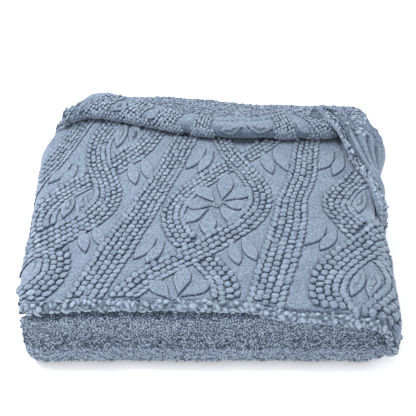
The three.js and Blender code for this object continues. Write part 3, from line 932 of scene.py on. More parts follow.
def cuff_rows() -> list[Row]:
    """The end of the cloth, folded back over itself to its hem."""
    rows = []
    middle = (OVER_TOP + CUFF_TOP) / 2
    for step in range(1, CUFF_TURN_STEPS):
        turn = math.pi * step / CUFF_TURN_STEPS

        def lay(x: Array, face: Array, turn: float = turn) -> tuple[Array, Array]:
            lumps = np.where(face > 0, ripples(x, FOLD_RADIAN * turn, FOLD_WAVE), 0)
            radius = CUFF_RADIUS + face * WRAP_PLY / 2 + lumps
            return CUFF_FOLD.at(x) - radius * math.sin(turn), middle - radius * math.cos(turn)

        rows.append(Row(Zone.CUFF, *ends_at(CUFF_SIDES, 0), lay=lay))
    for share in CUFF_SHARES:
        ply = WRAP_PLY * float(rounding(np.array((1 - share) * CUFF_DEPTH)))
        line = lambda x, share=share: mix(CUFF_FOLD.at(x), CUFF_HEM.at(x), share)
        rows.append(laid_row(Zone.CUFF, line, CUFF_TOP, 1, ply, *ends_at(CUFF_SIDES, share)))
    return rows


def blend_rows(
    before: Row, after: Row, x: tuple[Array, Array], face: Array, share: Array
) -> tuple[Array, Array]:
    """Points between two rows.

    Args:
        before: Row at share 0.
        after: Row at share 1.
        x: Places on each of the two rows.
        face: -1 or 1 for the sheet's two faces.
        share: Place between the rows.

    Returns:
        Unsettled points, and how light the pile is there.
    """
    if before.zone is after.zone and before.lay and after.lay:
        parts = [row.lay(at, face * rounding(row.edge(at))) for row, at in ((before, x[0]), (after, x[1]))]
        place = mix(x[0], x[1], share)
        y, height = (mix(a, b, share) for a, b in zip(*parts))
        lit = zone_shade(before.zone, place, y, face)
        if before.zone is Zone.CUFF and not plain_cuff(before, after):
            return drape(place, y, height), lit
        return before.surface(place, y, height + zone_relief(before.zone, place, y, face)), lit
    start, end = before.points(x[0], face), after.points(x[1], face)
    return mix(start, end, share[:, None]), np.full(len(share), PLAIN_LIT)


def plain_cuff(before: Row, after: Row) -> bool:
    """Whether both rows lie on the flat of the cuff, past its fold."""
    probe, out = np.zeros(1), np.ones(1)
    return all(row.lay(probe, out)[1][0] > CUFF_TOP for row in (before, after))


# Middles of the flat slab's faces lie below or above these on its curly and patterned sides, and faces
# above the last one have the patterned side's finish
FLAT_FACES = (0.1, 0.9)
VELOUR_FROM = 0.6


@dataclass
class SheetPart:
    """A closed slab of cloth made from rows.

    Attributes:
        rows: Rows in the order in which the sheet runs.
        fine: Cuts of an edge on the outward faces that show, by zone.
    """

    rows: list[Row]
    fine: tuple[tuple[Zone, int], ...]

    def build(self, target: BMesh) -> None:
        """Adds the slab to a bmesh."""
        bm = flat_slab(len(self.rows[0].places()) - 1, len(self.rows) - 1)
        for zone, cuts in self.fine:
            subdivide_zone(bm, self.rows, zone, cuts)
        bmesh.ops.triangulate(bm, faces=[f for f in bm.faces if len(f.verts) > 4])
        add_slab(target, bm, self.mapped, self.kind)

    def kind(self, spot: Vector) -> tuple[Zone, int]:
        """Zone, or hidden, and number of the finish of a flat slab's face with its middle at a spot."""
        row = self.rows[min(int(spot.y), len(self.rows) - 1)]
        at_edge = FLAT_FACES[0] < spot.z < FLAT_FACES[1]
        shown = at_edge or (spot.z > FLAT_FACES[1]) == (row.zone in PATTERNED)
        zone = row.zone if shown else Zone.HIDDEN
        if zone is Zone.TOP and self.hem_distance(spot, row) < HEM_WIDTH:
            zone = Zone.HEM
        return zone, 0 if spot.z > VELOUR_FROM else 1

    def hem_distance(self, spot: Vector, row: Row) -> float:
        """Distance from the cloth's nearest edge of a flat slab place in one of its rows."""
        places = row.places()
        x = np.interp(spot.x, np.arange(len(places)), places)
        y = row.lay(np.array([x]), np.ones(1))[0][0]
        return float(top_edge(np.array(x), np.array(y)))

    def mapped(self, flat: Array) -> tuple[Array, Array]:
        """Settled points of flat slab places (column, row, face), and how light each is."""
        rows, columns = self.rows, np.arange(len(self.rows[0].places()))
        base = np.clip(np.floor(flat[:, 1] + 1e-6).astype(int), 0, len(rows) - 2)
        points, lit = np.zeros_like(flat), np.zeros(len(flat))
        for index in range(len(rows) - 1):
            chosen = np.nonzero(base == index)[0]
            place = [np.interp(flat[chosen, 0], columns, rows[index + k].places()) for k in (0, 1)]
            face = np.where(flat[chosen, 2] > 0.5, 1.0, -1.0)
            share = flat[chosen, 1] - index
            points[chosen], lit[chosen] = blend_rows(rows[index], rows[index + 1], place, face, share)
        return above_floor(settle(points)) * MM, lit


def above_floor(points: Array) -> Array:
    """Points with none below the floor."""
    return np.concatenate([points[..., :2], np.maximum(points[..., 2:], 0)], -1)
def add_slab(
    target: BMesh, bm: BMesh, mapped: Callable[[Array], tuple[Array, Array]],
    kind: Callable[[Vector], tuple[Zone, int]],
) -> None:
    """Bends a flat slab into place and adds it to a bmesh, with its zones and how light it is, its painted
    light and shade, as layers.

    Args:
        target: What it is added to.
        bm: The flat slab, which is freed.
        mapped: Gives points and how light each is, from flat slab places (column, row, face).
        kind: Gives the zone and the number of the finish of a face, from its middle.
    """
    bm.verts.index_update()
    flat = np.array([v.co for v in bm.verts])
    # The lit layer holds the painted light and shade of the pile
    layer = bm.verts.layers.float.new("lit")
    for vert, point, shade in zip(bm.verts, *mapped(flat)):
        vert.co = point
        vert[layer] = shade
    zones = bm.faces.layers.int.new("zone")
    for face in bm.faces:
        spot = sum((Vector(flat[v.index]) for v in face.verts), Vector()) / len(face.verts)
        zone, face.material_index = kind(spot)
        face[zones] = zone.value
    bmesh.ops.recalc_face_normals(bm, faces=bm.faces[:])
    if bm.calc_volume(signed=True) < 0:
        bmesh.ops.reverse_faces(bm, faces=bm.faces[:])
    part = bpy.data.meshes.new("part")
    bm.to_mesh(part)
    bm.free()
    target.from_mesh(part)
    bpy.data.meshes.remove(part)


def flat_slab(columns: int, rows: int) -> BMesh:
    """A closed slab whose vertices hold column, row and face (0 or 1) as their place."""
    bm = bmesh.new()
    bmesh.ops.create_grid(bm, x_segments=columns, y_segments=rows, size=0.5)
    for vert in bm.verts:
        vert.co = ((vert.co.x + 0.5) * columns, (vert.co.y + 0.5) * rows, 0)
    made = bmesh.ops.extrude_face_region(bm, geom=bm.faces[:], use_keep_orig=True)
    for vert in (g for g in made["geom"] if isinstance(g, bmesh.types.BMVert)):
        vert.co.z = 1
    bmesh.ops.recalc_face_normals(bm, faces=bm.faces[:])
    return bm


def subdivide_zone(bm: BMesh, rows: list[Row], zone: Zone, cuts: int) -> None:
    """Cuts the edges of a zone's outward face finer.

    Args:
        bm: The flat slab.
        rows: Rows of the sheet.
        zone: Zone to cut.
        cuts: Cuts for each edge.
    """
    level = 1.0 if zone in PATTERNED else 0.0
    edges = set()
    for face in bm.faces:
        if any(abs(v.co.z - level) > 0.01 for v in face.verts):
            continue
        if rows[min(int(face.calc_center_median().y), len(rows) - 1)].zone is zone:
            edges.update(face.edges)
    bmesh.ops.subdivide_edges(bm, edges=list(edges), cuts=cuts, use_grid_fill=True)


def flap_height(x: Array, y: Array) -> Array:
    """Height of the turned-up corner over the top, or over the cuff further back."""
    cuff = CUFF_FOLD.at(x) - CUFF_RADIUS - WRAP_PLY
    return mix(FLAP_OVER_TOP, FLAP_OVER_CUFF, ramp((y - cuff) / FLAP_CLIMB, -1, 0))


def lumpy(run: Array, lumps: tuple[tuple[float, float, float], ...]) -> Array:
    """Factor with uneven lumps along a run, each given by its height, rate and shift."""
    return 1 + sum(height * np.sin(run * rate + shift) for height, rate, shift in lumps)


@dataclass
class Corner:
    """The corner turned up over the right side.

    Attributes:
        columns: Faces across it.
        steps: Faces along it.
        turn_steps: How many of them turn it up off the floor.
    """

    columns: int = 40
    steps: int = 56
    turn_steps: int = 6
    # The rolled strip, with height, rate and shift of its lumps
    strip_half: float = 4.3
    strip_width: float = 2 * strip_half
    strip_puff: float = 6.4
    strip_lumps: Rows = ((0.14, 0.62, 0.0), (0.10, 1.3, 1.0))
    # The hollow behind the strip: middle and half width, depth, and where it gets deeper by the run up
    hollow_shape: Numbers = (strip_width + 7, 6.0)
    hollow_depth: float = 6.0
    hollow_full: Fade = Fade(100.0, 150.0)
    # Soft folds between the hollow and the ridges: height, start, rate, lean, and sway with its rate
    fold_rise: float = 2.6
    fold_start: float = 16.0
    fold_rate: float = 0.27
    fold_lean: float = 0.035
    fold_sway: Numbers = (0.9, 0.04)
    folds_from: Fade = Fade(strip_width + 4, strip_width + 16)
    folds_to: Fade = Fade(-22.0, -12.0, 1.0, 0.0)
    # Ridges along the rear edge by distance from it, the second one lower and only where the corner is wide
    ridges: Numbers = (7.0, 23.0)
    ridge_half: float = 4.2
    ridge_rise: float = 5.5
    ridge_lumps: Rows = ((0.4, 0.5, 0.0), (0.2, 0.93, 0.0))
    ridges_from: Fade = Fade(50.0, 84.0)
    second_ridge: float = 0.7
    second_from: Fade = Fade(46.0, 58.0)
    behind_shape: Numbers = (15.0, 2.6)
    behind_depth: float = 1.5
    # The relief ends at the corner's tip
    relief_to: Fade = Fade(9.6, 11.0, 1.0, 0.0)
    # Painted light and shade of the pile there: how much lighter it is over the corner, the strip and the
    # crests of the folds, how much painted shade darkens the hollow, the troughs, the ground behind the
    # ridges and the strip's groove, and how far the painted shade of the ground under tufts goes
    corner_lit: float = 0.08
    strip_lit: float = 0.12
    crest_lit: float = 0.1
    hollow_dark: float = 1.0
    trough_dark: float = 0.34
    behind_dark: float = 0.32
    strip_groove_dark: float = 0.4
    strip_groove_shape: Numbers = (strip_width + 1, 1.8)
    strip_piled: Fade = Fade(strip_width - 1.5, strip_width + 0.5, 1.0, 0.0)
    ridge_piled: Fade = Fade(0.3, 0.8)
    # Faces that get tufts: half width on a ridge, rows on the ridges, last row on the strip, and the width
    # of the corner from which the second ridge has them
    ridge_tufted: float = 4.0
    ridge_tuft_rows: Numbers = (5.5, 9.6)
    strip_tufts_to: float = 9.5
    second_tufts_from: float = 52.0

    def build(self, target: BMesh) -> None:
        """Adds the corner to a bmesh."""
        add_slab(target, flat_slab(self.columns, self.steps), self.mapped, self.kind)

    def ride(self, row: Array | float) -> Array:
        """Row of the table of its ends, from a row of the flat slab."""
        start = self.turn_steps + 1
        return np.clip((row - start) / (self.steps - start) * FLAP_LAST_ROW, 0, FLAP_LAST_ROW)

    def kind(self, spot: Vector) -> tuple[Zone, int]:
        """Zone and number of the finish of a flat slab's face with its middle at a spot."""
        ride = self.ride(spot.y)
        width = float(FLAP_EDGE.at(ride, "rear") - FLAP_EDGE.at(ride, "front"))
        edge = spot.x / self.columns * width
        first, second = (abs(width - edge - middle) < self.ridge_tufted for middle in self.ridges)
        ridged = first or (second and width > self.second_tufts_from)
        tufted = ridged and self.ridge_tuft_rows[0] < ride < self.ridge_tuft_rows[1]
        tufted = tufted or (edge < self.strip_width and ride < self.strip_tufts_to)
        return Zone.STRIP if spot.z > FLAT_FACES[1] and tufted else Zone.FLAP, 0

    def relief(self, edge: Array, width: Array, run: Array) -> tuple[Array, Array]:
        """Relief of its rolled strip, the hollow behind it, its soft folds and rear ridges.

        Args:
            edge: Distance from its front edge.
            width: Its width there.
            run: Distance up from the side of the stack.

        Returns:
            Height of the relief, and how light the pile is there, with its painted light and shade.
        """
        rear, upper = width - edge, self.ridges_from.at(run)
        strip = roll(edge, self.strip_half, self.strip_puff) * lumpy(run, self.strip_lumps)
        hollow = bump(edge, *self.hollow_shape) * (upper + self.hollow_full.at(run)) / 2
        sway = self.fold_sway[0] * np.sin(run * self.fold_sway[1])
        folds = np.sin((edge - self.fold_start) * self.fold_rate - self.fold_lean * run + sway)
        folds = folds * self.folds_from.at(edge) * self.folds_to.at(-rear)
        first, second = (bump(rear, middle, self.ridge_half) for middle in self.ridges)
        ridge = (first + self.second_ridge * second * self.second_from.at(width)) * upper
        behind = bump(rear, *self.behind_shape) * upper
        height = strip - self.hollow_depth * hollow + self.fold_rise * folds - self.behind_depth * behind
        height = height + self.ridge_rise * ridge * lumpy(run, self.ridge_lumps)
        # Painted light over the corner, the strip and the crests, painted shade in the hollow, the troughs,
        # behind the ridges, in the strip's groove and under tufts
        lit = PLAIN_LIT + self.corner_lit + self.strip_lit * (edge < self.strip_width)
        lit = lit - self.hollow_dark * hollow
        lit = lit + self.crest_lit * np.clip(folds, 0, 1) - self.trough_dark * np.clip(-folds, 0, 1)
        lit = lit - self.behind_dark * behind - self.strip_groove_dark * bump(edge, *self.strip_groove_shape)
        piled = np.maximum(self.strip_piled.at(edge), self.ridge_piled.at(ridge))
        return height, lit * mix(1, UNDER_STRIP, piled)

    def mapped(self, flat: Array) -> tuple[Array, Array]:
        """Settled points of flat slab places (column, row, face), and how light each is."""
        share, row = flat[:, 0] / self.columns, flat[:, 1]
        face = np.where(flat[:, 2] > 0.5, 1.0, -1.0)
        ride = self.ride(row)
        x, front, rear, sink = (FLAP_EDGE.at(ride, name) for name in ("x", "front", "rear", "sink"))
        y, width = mix(front, rear, share), rear - front
        thin = rounding(np.minimum(share, 1 - share) * width)
        relief, lit = self.relief(share * width, width, (FLAP_OUTER - x) + (front - FLAP_LOWEST))
        relief = np.where(face > 0, relief, 0) * self.relief_to.at(ride)
        laid = drape(x, y, flap_height(x, y) - sink + face * FLAP_PLY / 2 * thin + relief)
        angle = np.clip((row - 1) / self.turn_steps, 0, 1) * math.pi / 2
        wall = SIDE_BEND + TOP_BEND + FLAP_OVER_TOP - FLAP_TURN
        turn_x = mix(FLAP_ROOT, wall, np.clip(row, 0, 1))
        radius = FLAP_TURN + face * FLAP_PLY / 2
        rise = BASE_LEVEL + FLAP_TURN - radius * np.cos(angle)
        low = np.stack([turn_x + radius * np.sin(angle), y, rise], -1)
        points = np.where((row < self.turn_steps + 1)[:, None], low, laid)
        return settle(points) * MM, np.where(face > 0, lit, PLAIN_LIT)


@dataclass
class Cloth:
    """The folded sheet with its turned-up corner, as one piece.

    Attributes:
        velour: Finish of its patterned side.
        fleece: Finish of its curly side.
        fine: Cuts of an edge on the outward faces that show, by zone.
    """

    velour: Material
    fleece: Material
    fine: tuple[tuple[Zone, int], ...] = ((Zone.TOP, 2), (Zone.FRONT, 2), (Zone.REAR, 1), (Zone.CUFF, 2))

    def build(self) -> Object:
        """Makes the cloth.

        Returns:
            The object, with its face zones kept as an attribute.
        """
        bm = bmesh.new()
        bm.faces.layers.int.new("zone")
        bm.verts.layers.float.new("lit")
        rows = top_rows() + inside_rows() + front_rows() + rear_rows() + cuff_rows()
        SheetPart(rows, self.fine).build(bm)
        Corner().build(bm)
        mesh = bpy.data.meshes.new("blanket_sheet")
        bm.to_mesh(mesh)
        bm.free()
        mesh.materials.append(self.velour)
        mesh.materials.append(self.fleece)
        mesh.shade_smooth()
        return add_object("blanket_sheet", mesh)


def add_object(name: str, mesh: bpy.types.Mesh) -> Object:
    """Puts a mesh in the scene and ties it to the frame."""
    made = bpy.data.objects.new(name, mesh)
    bpy.context.scene.collection.objects.link(made)
    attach(made, BODY)
    return made


@dataclass
class Proto:
    """A small closed shape that is repeated.

    Attributes:
        points: Its vertices, in its own millimetres.
        faces: Vertex numbers, one tuple a face.
        lit: How light each vertex is, from its base to its top, as painted shade low down and painted light
            high up.
    """

    points: Array
    faces: list[tuple[int, ...]]
    lit: Array

def read_out(bm: BMesh) -> tuple[Array, list[tuple[int, ...]]]:
    """Vertices and faces of a bmesh, which is freed."""
    bm.verts.index_update()
    points = np.array([v.co for v in bm.verts])
    faces = [tuple(v.index for v in f.verts) for f in bm.faces]
    bm.free()
    return points, faces


def dome(outline: Array, rings: tuple[tuple[float, float, float], ...]) -> Proto:
    """A closed dome over an outline.

    Args:
        outline: Points of its widest ring, as rows of two.
        rings: Share of the outline, height and lightness, which paints shade and light, from the base up.
            The last is the tip.

    Returns:
        The shape.
    """
    bm = bmesh.new()
    loops = []
    for share, height, _ in rings[:-1]:
        verts = [bm.verts.new((u * share, v * share, height)) for u, v in outline]
        edges = [bm.edges.new((verts[k], verts[(k + 1) % len(verts)])) for k in range(len(verts))]
        if loops:
            bmesh.ops.bridge_loops(bm, edges=loops[-1] + edges)
        loops.append(edges)
    bmesh.ops.contextual_create(bm, geom=loops[0])
    cap = bmesh.ops.contextual_create(bm, geom=loops[-1])["faces"]
    tip = bmesh.ops.poke(bm, faces=cap)["verts"]
    for vert in tip:
        vert.co.z = rings[-1][1]
    bmesh.ops.recalc_face_normals(bm, faces=bm.faces[:])
    points, faces = read_out(bm)
    heights, lit = ([ring[k] for ring in rings] for k in (1, 2))
    return Proto(points, faces, np.interp(points[:, 2], heights, lit))


def round_outline(length: float, width: float, power: float, sides: int, point: float = 0.0) -> Array:
    """An outline between an ellipse and a rectangle, pointed at one end if asked."""
    angle = (np.arange(sides) + 0.5) * 2 * math.pi / sides
    reach = (np.abs(np.cos(angle)) ** power + np.abs(np.sin(angle)) ** power) ** (-1 / power)
    u, v = reach * np.cos(angle), reach * np.sin(angle)
    return np.stack([u * length, v * width * (1 - point * np.clip(u, 0, 1) ** 2)], -1)


def leaf_outline(length: float, width: float, sides: int, fullness: float = 0.5) -> Array:
    """An outline pointed at both ends, widest at the share of its length given as fullness."""
    half = sides // 2
    share = (1 - np.cos(np.linspace(0, math.pi, half + 1))) / 2
    bulge = np.sin(math.pi * share ** (math.log(0.5) / math.log(fullness)))
    upper = np.stack([(share - 0.5) * 2 * length, bulge * width], -1)
    lower = upper[1:-1][::-1] * (1, -1)
    return np.concatenate([upper, lower])
# A shape, the points of each time it is placed, and the tone of each
Part = tuple[Proto, Array, Array]


def swung(u: Array, v: Array, heading: Array | float) -> tuple[Array, Array]:
    """Lengths along a heading and to its left, as x and y."""
    cos, sin = np.cos(heading), np.sin(heading)
    return u * cos - v * sin, u * sin + v * cos


def joined(name: str, parts: list[Part], material: Material) -> Object:
    """One mesh out of many placed shapes.

    Args:
        name: Name of the piece.
        parts: Each shape with its placed points, shaped (number, vertices, 3), in metres, and how much
            lighter or darker than the shape each one is.
        material: Its finish.

    Returns:
        The object.
    """
    points, faces, lit, start = [], [], [], 0
    for proto, placed, tone in parts:
        count, size = placed.shape[:2]
        points.append(placed.reshape(-1, 3))
        lit.append((proto.lit[None] * tone[:, None]).ravel())
        for index in range(count):
            offset = start + index * size
            faces.extend([tuple(k + offset for k in face) for face in proto.faces])
        start += count * size
    mesh = bpy.data.meshes.new(name)
    mesh.from_pydata(np.concatenate(points), [], faces)
    # Painted light and shade of each shape, times its tone
    layer = mesh.attributes.new("lit", "FLOAT", "POINT")
    layer.data.foreach_set("value", np.concatenate(lit).astype(np.float32))
    mesh.materials.append(material)
    mesh.shade_smooth()
    mesh.update()
    return add_object(name, mesh)
class Bead(NamedTuple):
    """A bead: x, y or distance from the cuff's fold, heading, -1 or 1 at a band's sides, and size."""

    x: float
    y: float
    heading: float
    side: int = 0
    scale: float = 1.0


@dataclass
class BeadRows:
    """The beaded bands of the top and the cuff.

    Attributes:
        velour: Their finish.
        rng: Source of their unevenness.
        past: How far ahead of the front bend a band starts.
        steps: Steps in which a band is measured.
        side_turn: How far the beads at a band's sides turn outward, in radians.
        turns: Spread of the headings.
        sizes: Spread of the sizes.
        shifts: Spread of the places.
        tones: Spread of the tones.
    """

    velour: Material
    rng: np.random.Generator
    past: float = 60.0
    steps: int = 1400
    side_turn: float = 0.42
    turns: float = 0.13
    sizes: float = 0.08
    shifts: float = 0.35
    tones: float = 0.09
    # Least distance between two, and how far they stay off the hem and the cuff and run on under the corner
    bead_clearance: float = 7.2
    bead_margin: float = 4.0
    # Steps along a band of the cuff, and where beads show there: past its fold and off its hem, off its
    # left end, up to what x, and from what x and run they lie under the corner
    cuff_steps: range = range(-12, 20)
    cuff_shows: Numbers = (-26.0, 3.0)
    cuff_left: float = 4.0
    cuff_right: float = 172.0
    cuff_covered: Numbers = (138.0, 8.0)
    # Where the pattern makes the fold's lower edge lumpy
    fold_pitch: float = 4.3
    fold_tufts: Rows = (
        (-178, -158), (-142, -112), (-98, -70), (-54, -28), (-12, 18), (94, 114), (134, 164)
    )
    fold_runs: Numbers = (-11.5, -15.1, -18.7, -22.3)
    # Outlines of beads: half length and width, squareness, sides and point
    inner_bead: Numbers = (4.15, 3.85, 4.2, 12)
    outer_bead: Numbers = (5.2, 3.7, 2.6, 12, 0.35)
    cuff_bead: Numbers = (2.25, 2.0, 3.2, 8)

    def march(self, band: Band) -> list[Bead]:
        """Beads of a band on the laid-out top, column by column."""
        y = np.linspace(FRONT_BEND - self.past, REAR_BEND, self.steps)
        x = band.line(y)
        run = np.concatenate([[0], np.cumsum(np.hypot(np.diff(x), np.diff(y)) / BEAD_SCALE.at(y[1:]))])
        found = []
        for column in range(band.beads):
            offset = (column - (band.beads - 1) / 2) * BEAD_WIDTH
            stations = np.arange((column % 2) * BEAD_PITCH / 2, run[-1], BEAD_PITCH)
            at_y, at_x = np.interp(stations, run, y), np.interp(stations, run, x)
            heading = np.arctan2(1, (band.line(at_y + 1) - band.line(at_y - 1)) / 2)
            side = (column == band.beads - 1) - (column == 0)
            for px, py, turn, scale in zip(at_x, at_y, heading, BEAD_SCALE.at(at_y)):
                out = offset * scale
                found.append(Bead(px + out * math.sin(turn), py - out * math.cos(turn), turn, side, scale))
        return found

    def kept(self, found: list[Bead], taken: list[Bead]) -> list[Bead]:
        """Beads that show and don't run into ones already placed."""
        spots = np.array([bead[:2] for bead in taken]).reshape(-1, 2)
        keep = []
        for bead in found:
            x, y = bead.x, bead.y
            on_hem = top_edge(np.array(x), np.array(y)) < HEM_WIDTH + self.bead_margin
            if on_hem or y > CUFF_FOLD.at(x) - self.bead_margin:
                continue
            if x > FLAP_TIP and y > FLAP_LINE.at(x) + self.bead_margin:
                continue
            if len(spots) and np.min(np.hypot(*(spots - (x, y)).T)) < self.bead_clearance * bead.scale:
                continue
            keep.append(bead)
        return keep

    def build_top(self) -> Object:
        """Makes the beads of the top."""
        beads: list[Bead] = []
        for band in BANDS:
            beads += self.kept(self.march(band), beads)
        parts = []
        for outline, at_side in ((self.inner_bead, False), (self.outer_bead, True)):
            proto = dome(round_outline(*outline), BEAD_RINGS)
            parts.append((proto, *self.place(proto, [b for b in beads if bool(b.side) is at_side])))
        return joined("bead_rows", parts, self.velour)

    def place(self, proto: Proto, beads: list[Bead], point: Callable = top_point) -> tuple[Array, Array]:
        """Points of every bead, bent with the cloth, and the tone of each."""
        count = len(beads)
        x, y, heading, side, scale = np.array(beads, float).T
        heading = heading - side * self.side_turn + self.rng.normal(0, self.turns, count)
        size = (1 + self.rng.normal(0, self.sizes, (count, 3))) * scale[:, None]
        x, y = (at + self.rng.normal(0, self.shifts, count) for at in (x, y))
        u, v, z = np.moveaxis(proto.points[None] * size[:, None], -1, 0)
        out_x, out_y = swung(u, v, heading[:, None])
        points = point(x[:, None] + out_x, y[:, None] + out_y, z) * MM
        return points, 1 + self.rng.normal(0, self.tones, count)

    def build_cuff(self) -> Object:
        """Makes the beads of the cuff, whose bands lean the other way."""
        beads = []
        for start, lean, count in CUFF_BANDS:
            slant = math.hypot(1, lean)
            for column in range(count):
                across = start + (column - (count - 1) / 2) * CUFF_PITCH * slant * CUFF_PACKING
                for step in self.cuff_steps:
                    run = (step + (column % 2) / 2) * CUFF_PITCH / slant
                    if self.on_cuff(across + lean * run, run):
                        beads.append(Bead(across + lean * run, run, math.atan2(1, lean)))
        for start, stop in self.fold_tufts:
            for x in np.arange(start, stop, self.fold_pitch):
                for row, run in enumerate(self.fold_runs):
                    beads.append(Bead(x + self.fold_pitch / 2 * (row % 2), run, math.pi / 2))
        proto = dome(round_outline(*self.cuff_bead), CUFF_RINGS)
        return joined("cuff_beads", [(proto, *self.place(proto, beads, cuff_point))], self.velour)

    def on_cuff(self, x: float, run: float) -> bool:
        """Whether a bead lies on the part of the cuff that shows."""
        width = float(CUFF_HEM.at(x) - CUFF_FOLD.at(x))
        left = SIDE_BEND + CUFF_SIDES.at(max(run, 0) / width, "left")
        if x > self.cuff_covered[0] and run > self.cuff_covered[1]:
            return False
        inside = self.cuff_shows[0] < run < width - self.cuff_shows[1]
        return inside and self.cuff_left - left < x < self.cuff_right


@dataclass(frozen=True)
class Plate:
    """A raised flat figure of the pattern.

    Attributes:
        cell: Its middle in fan units.
        y: Its middle.
        turn: Heading in degrees from straight to the rear, to the left.
        length: Half its length.
        width: Half its width.
        fullness: Where it is widest.
    """

    cell: float
    y: float
    turn: float
    length: float
    width: float
    fullness: float = 0.5


def flower(cell: float, y: float, reach: float, petals: int) -> list[Plate]:
    """Petals round a middle, longer to the front and rear than to the sides."""
    spread = fan_x(1, y) - fan_x(0, y)
    width = reach * PETAL_WIDTH * math.sin(math.pi / petals)
    plates = []
    for petal in range(petals):
        turn = 360 * petal / petals
        sin, cos = math.sin(math.radians(turn)), math.cos(math.radians(turn))
        long = reach * (1 + PETAL_STRETCH * abs(cos) ** PETAL_FADE)
        out = long * PETAL_OUT
        plates.append(
            Plate(cell - out * sin / spread, y + out * cos, turn, long * PETAL_HALF, width, PETAL_FULLNESS)
        )
    return plates


def leaf(cell: float, y: float, turn: float, length: float, width: float) -> list[Plate]:
    """A leaf of two halves with a groove between them."""
    apart = width * LEAF_HALVES
    shift = apart * math.cos(math.radians(turn)) / (fan_x(1, y) - fan_x(0, y))
    drop = apart * math.sin(math.radians(turn))
    size = length, width / 2, LEAF_FULLNESS
    return [Plate(cell + s * shift, y + s * drop, turn + LEAF_SPREAD * s, *size) for s in (-1, 1)]


@dataclass
class Figures:
    """The carved flowers and leaves between the bands, and the leaves of the cuff."""

    velour: Material
    # Leaves of the cuff: x, distance from the top of its fold, turn from straight up, half length and width
    cuff_leaves: Rows = (
        (-152, -2, -48, 12, 5.5), (-106, 0, -48, 12, 5.5), (-64, -2, -48, 11, 5.5), (38, -8, -80, 14, 6),
        (74, -6, -96, 15, 6.5), (127, -6, 50, 11, 5.5),
    )
    # Flowers of the top: cell, y, reach and petals
    flowers: Rows = ((0.5, -10, 37, 8), (0.5, -178, 37, 8))
    flower_middle: Numbers = (5.2, 5.2, 2.0, 20)
    # Leaves inside the outer ovals and at the crossings: turn, half length and width
    oval_leaf: Numbers = (0, 23, 15)
    crossing_leaf: Numbers = (24, 21, 14)
    leaf_sides: int = 28
    cuff_leaf_sides: int = 24
    # Half the mean lean of the fan's lines
    figure_lean: float = math.atan(0.3) * 0.5
    # Share of a figure's half length that has to show, how far it may run under the cuff and has to stay off
    # the turned-up corner, and up to what x it is clear of that
    figure_reach: float = 0.8
    figure_margin: float = 6.0
    figures_free_to: float = 150.0

    def plates(self) -> list[Plate]:
        """Every figure of the top."""
        found = [petal for sizes in self.flowers for petal in flower(*sizes)]
        turn, *size = self.crossing_leaf
        for ovals in OVALS:
            for number in (-1, 0, 1):
                if ovals.leaf:
                    found += leaf(ovals.cell, ovals.centre + number * ovals.period, *self.oval_leaf)
                crossing = ovals.centre + (number - 0.5) * ovals.period
                for side in (-1, 1):
                    found += leaf(ovals.cell + side * ovals.crossing, crossing, turn * side, *size)
        return found

    def build(self) -> Object:
        """Makes the figures."""
        parts = []
        for plate in self.plates():
            x = float(fan_x(plate.cell, np.array(plate.y)))
            if self.fits(x, plate):
                outline = leaf_outline(plate.length, plate.width, self.leaf_sides, plate.fullness)
                heading = math.radians(90 + plate.turn) - self.figure_lean
                parts.append(self.placed(outline, x, plate.y, heading, top_point))
        cell, y = self.flowers[0][:2]
        middle = round_outline(*self.flower_middle)
        parts.append(self.placed(middle, float(fan_x(cell, y)), y, 0.0, top_point))
        for x, run, turn, length, width in self.cuff_leaves:
            outline = leaf_outline(length, width, self.cuff_leaf_sides)
            parts.append(self.placed(outline, x, run, math.radians(90 + turn), cuff_point))
        return joined("carved_figures", parts, self.velour)

    def placed(self, outline: Array, x: float, y: float, heading: float, point: Callable) -> Part:
        """A plate over an outline, bent with the cloth at its place.

        Args:
            outline: Points of its widest ring.
            x: Place across.
            y: Place to the rear, or distance from the cuff's fold.
            heading: Direction of its length, in radians.
            point: Gives points at a height over the cloth.

        Returns:
            The plate as a part of the piece.
        """
        proto = dome(outline, PLATE_RINGS)
        u, v, z = proto.points.T
        out_x, out_y = swung(u, v, heading)
        return proto, point(x + out_x, y + out_y, z)[None] * MM, np.ones(1)

    def fits(self, x: float, plate: Plate) -> bool:
        """Whether a figure lies wholly on the part of the top that shows."""
        reach = plate.length * self.figure_reach
        if top_edge(np.array(x), np.array(plate.y)) < HEM_WIDTH + reach:
            return False
        if plate.y + reach > CUFF_FOLD.at(x) + self.figure_margin:
            return False
        return x < self.figures_free_to or plate.y + reach < FLAP_LINE.at(x + self.figure_margin)


# How light a curl is at the heights of its rims: painted shade at its foot and painted light at its tip
CURL_LIT = (0.0, 0.42, 1.0)


@dataclass(frozen=True)
class Tufts:
    """How the curls of a zone are made.

    Attributes:
        name: Name of the piece.
        zone: Zone of the cloth that they cover.
        pitch: Least distance between two in metres.
        size: Half length, half width and half height in millimetres.
        under: How much painted shade darkens the cloth under them, in the pits between them.
        detail: How finely each is rounded.
        rough: How uneven each is.
        tone: How light they are.
        speckle: How much that varies from one to the next.
        pits: How deep the pits between clumps are, and how much painted shade darkens them.
        lift: How far their middles lie over the cloth at least and at most, in half heights.
        tilt: How much they lean, in radians.
        rims: Heights on a curl at which it is dark, middling and light, painting shade at its foot and light
            at its tip.
    """

    name: str
    zone: Zone
    pitch: float
    size: tuple[float, float, float]
    under: float
    detail: int = 1
    rough: float = 0.1
    tone: float = 1.0
    speckle: float = 0.2
    pits: float = 0.0
    lift: tuple[float, float] = (-0.4, 0.6)
    tilt: float = 0.45
    rims: tuple[float, float, float] = (-0.6, 0.1, 1.0)


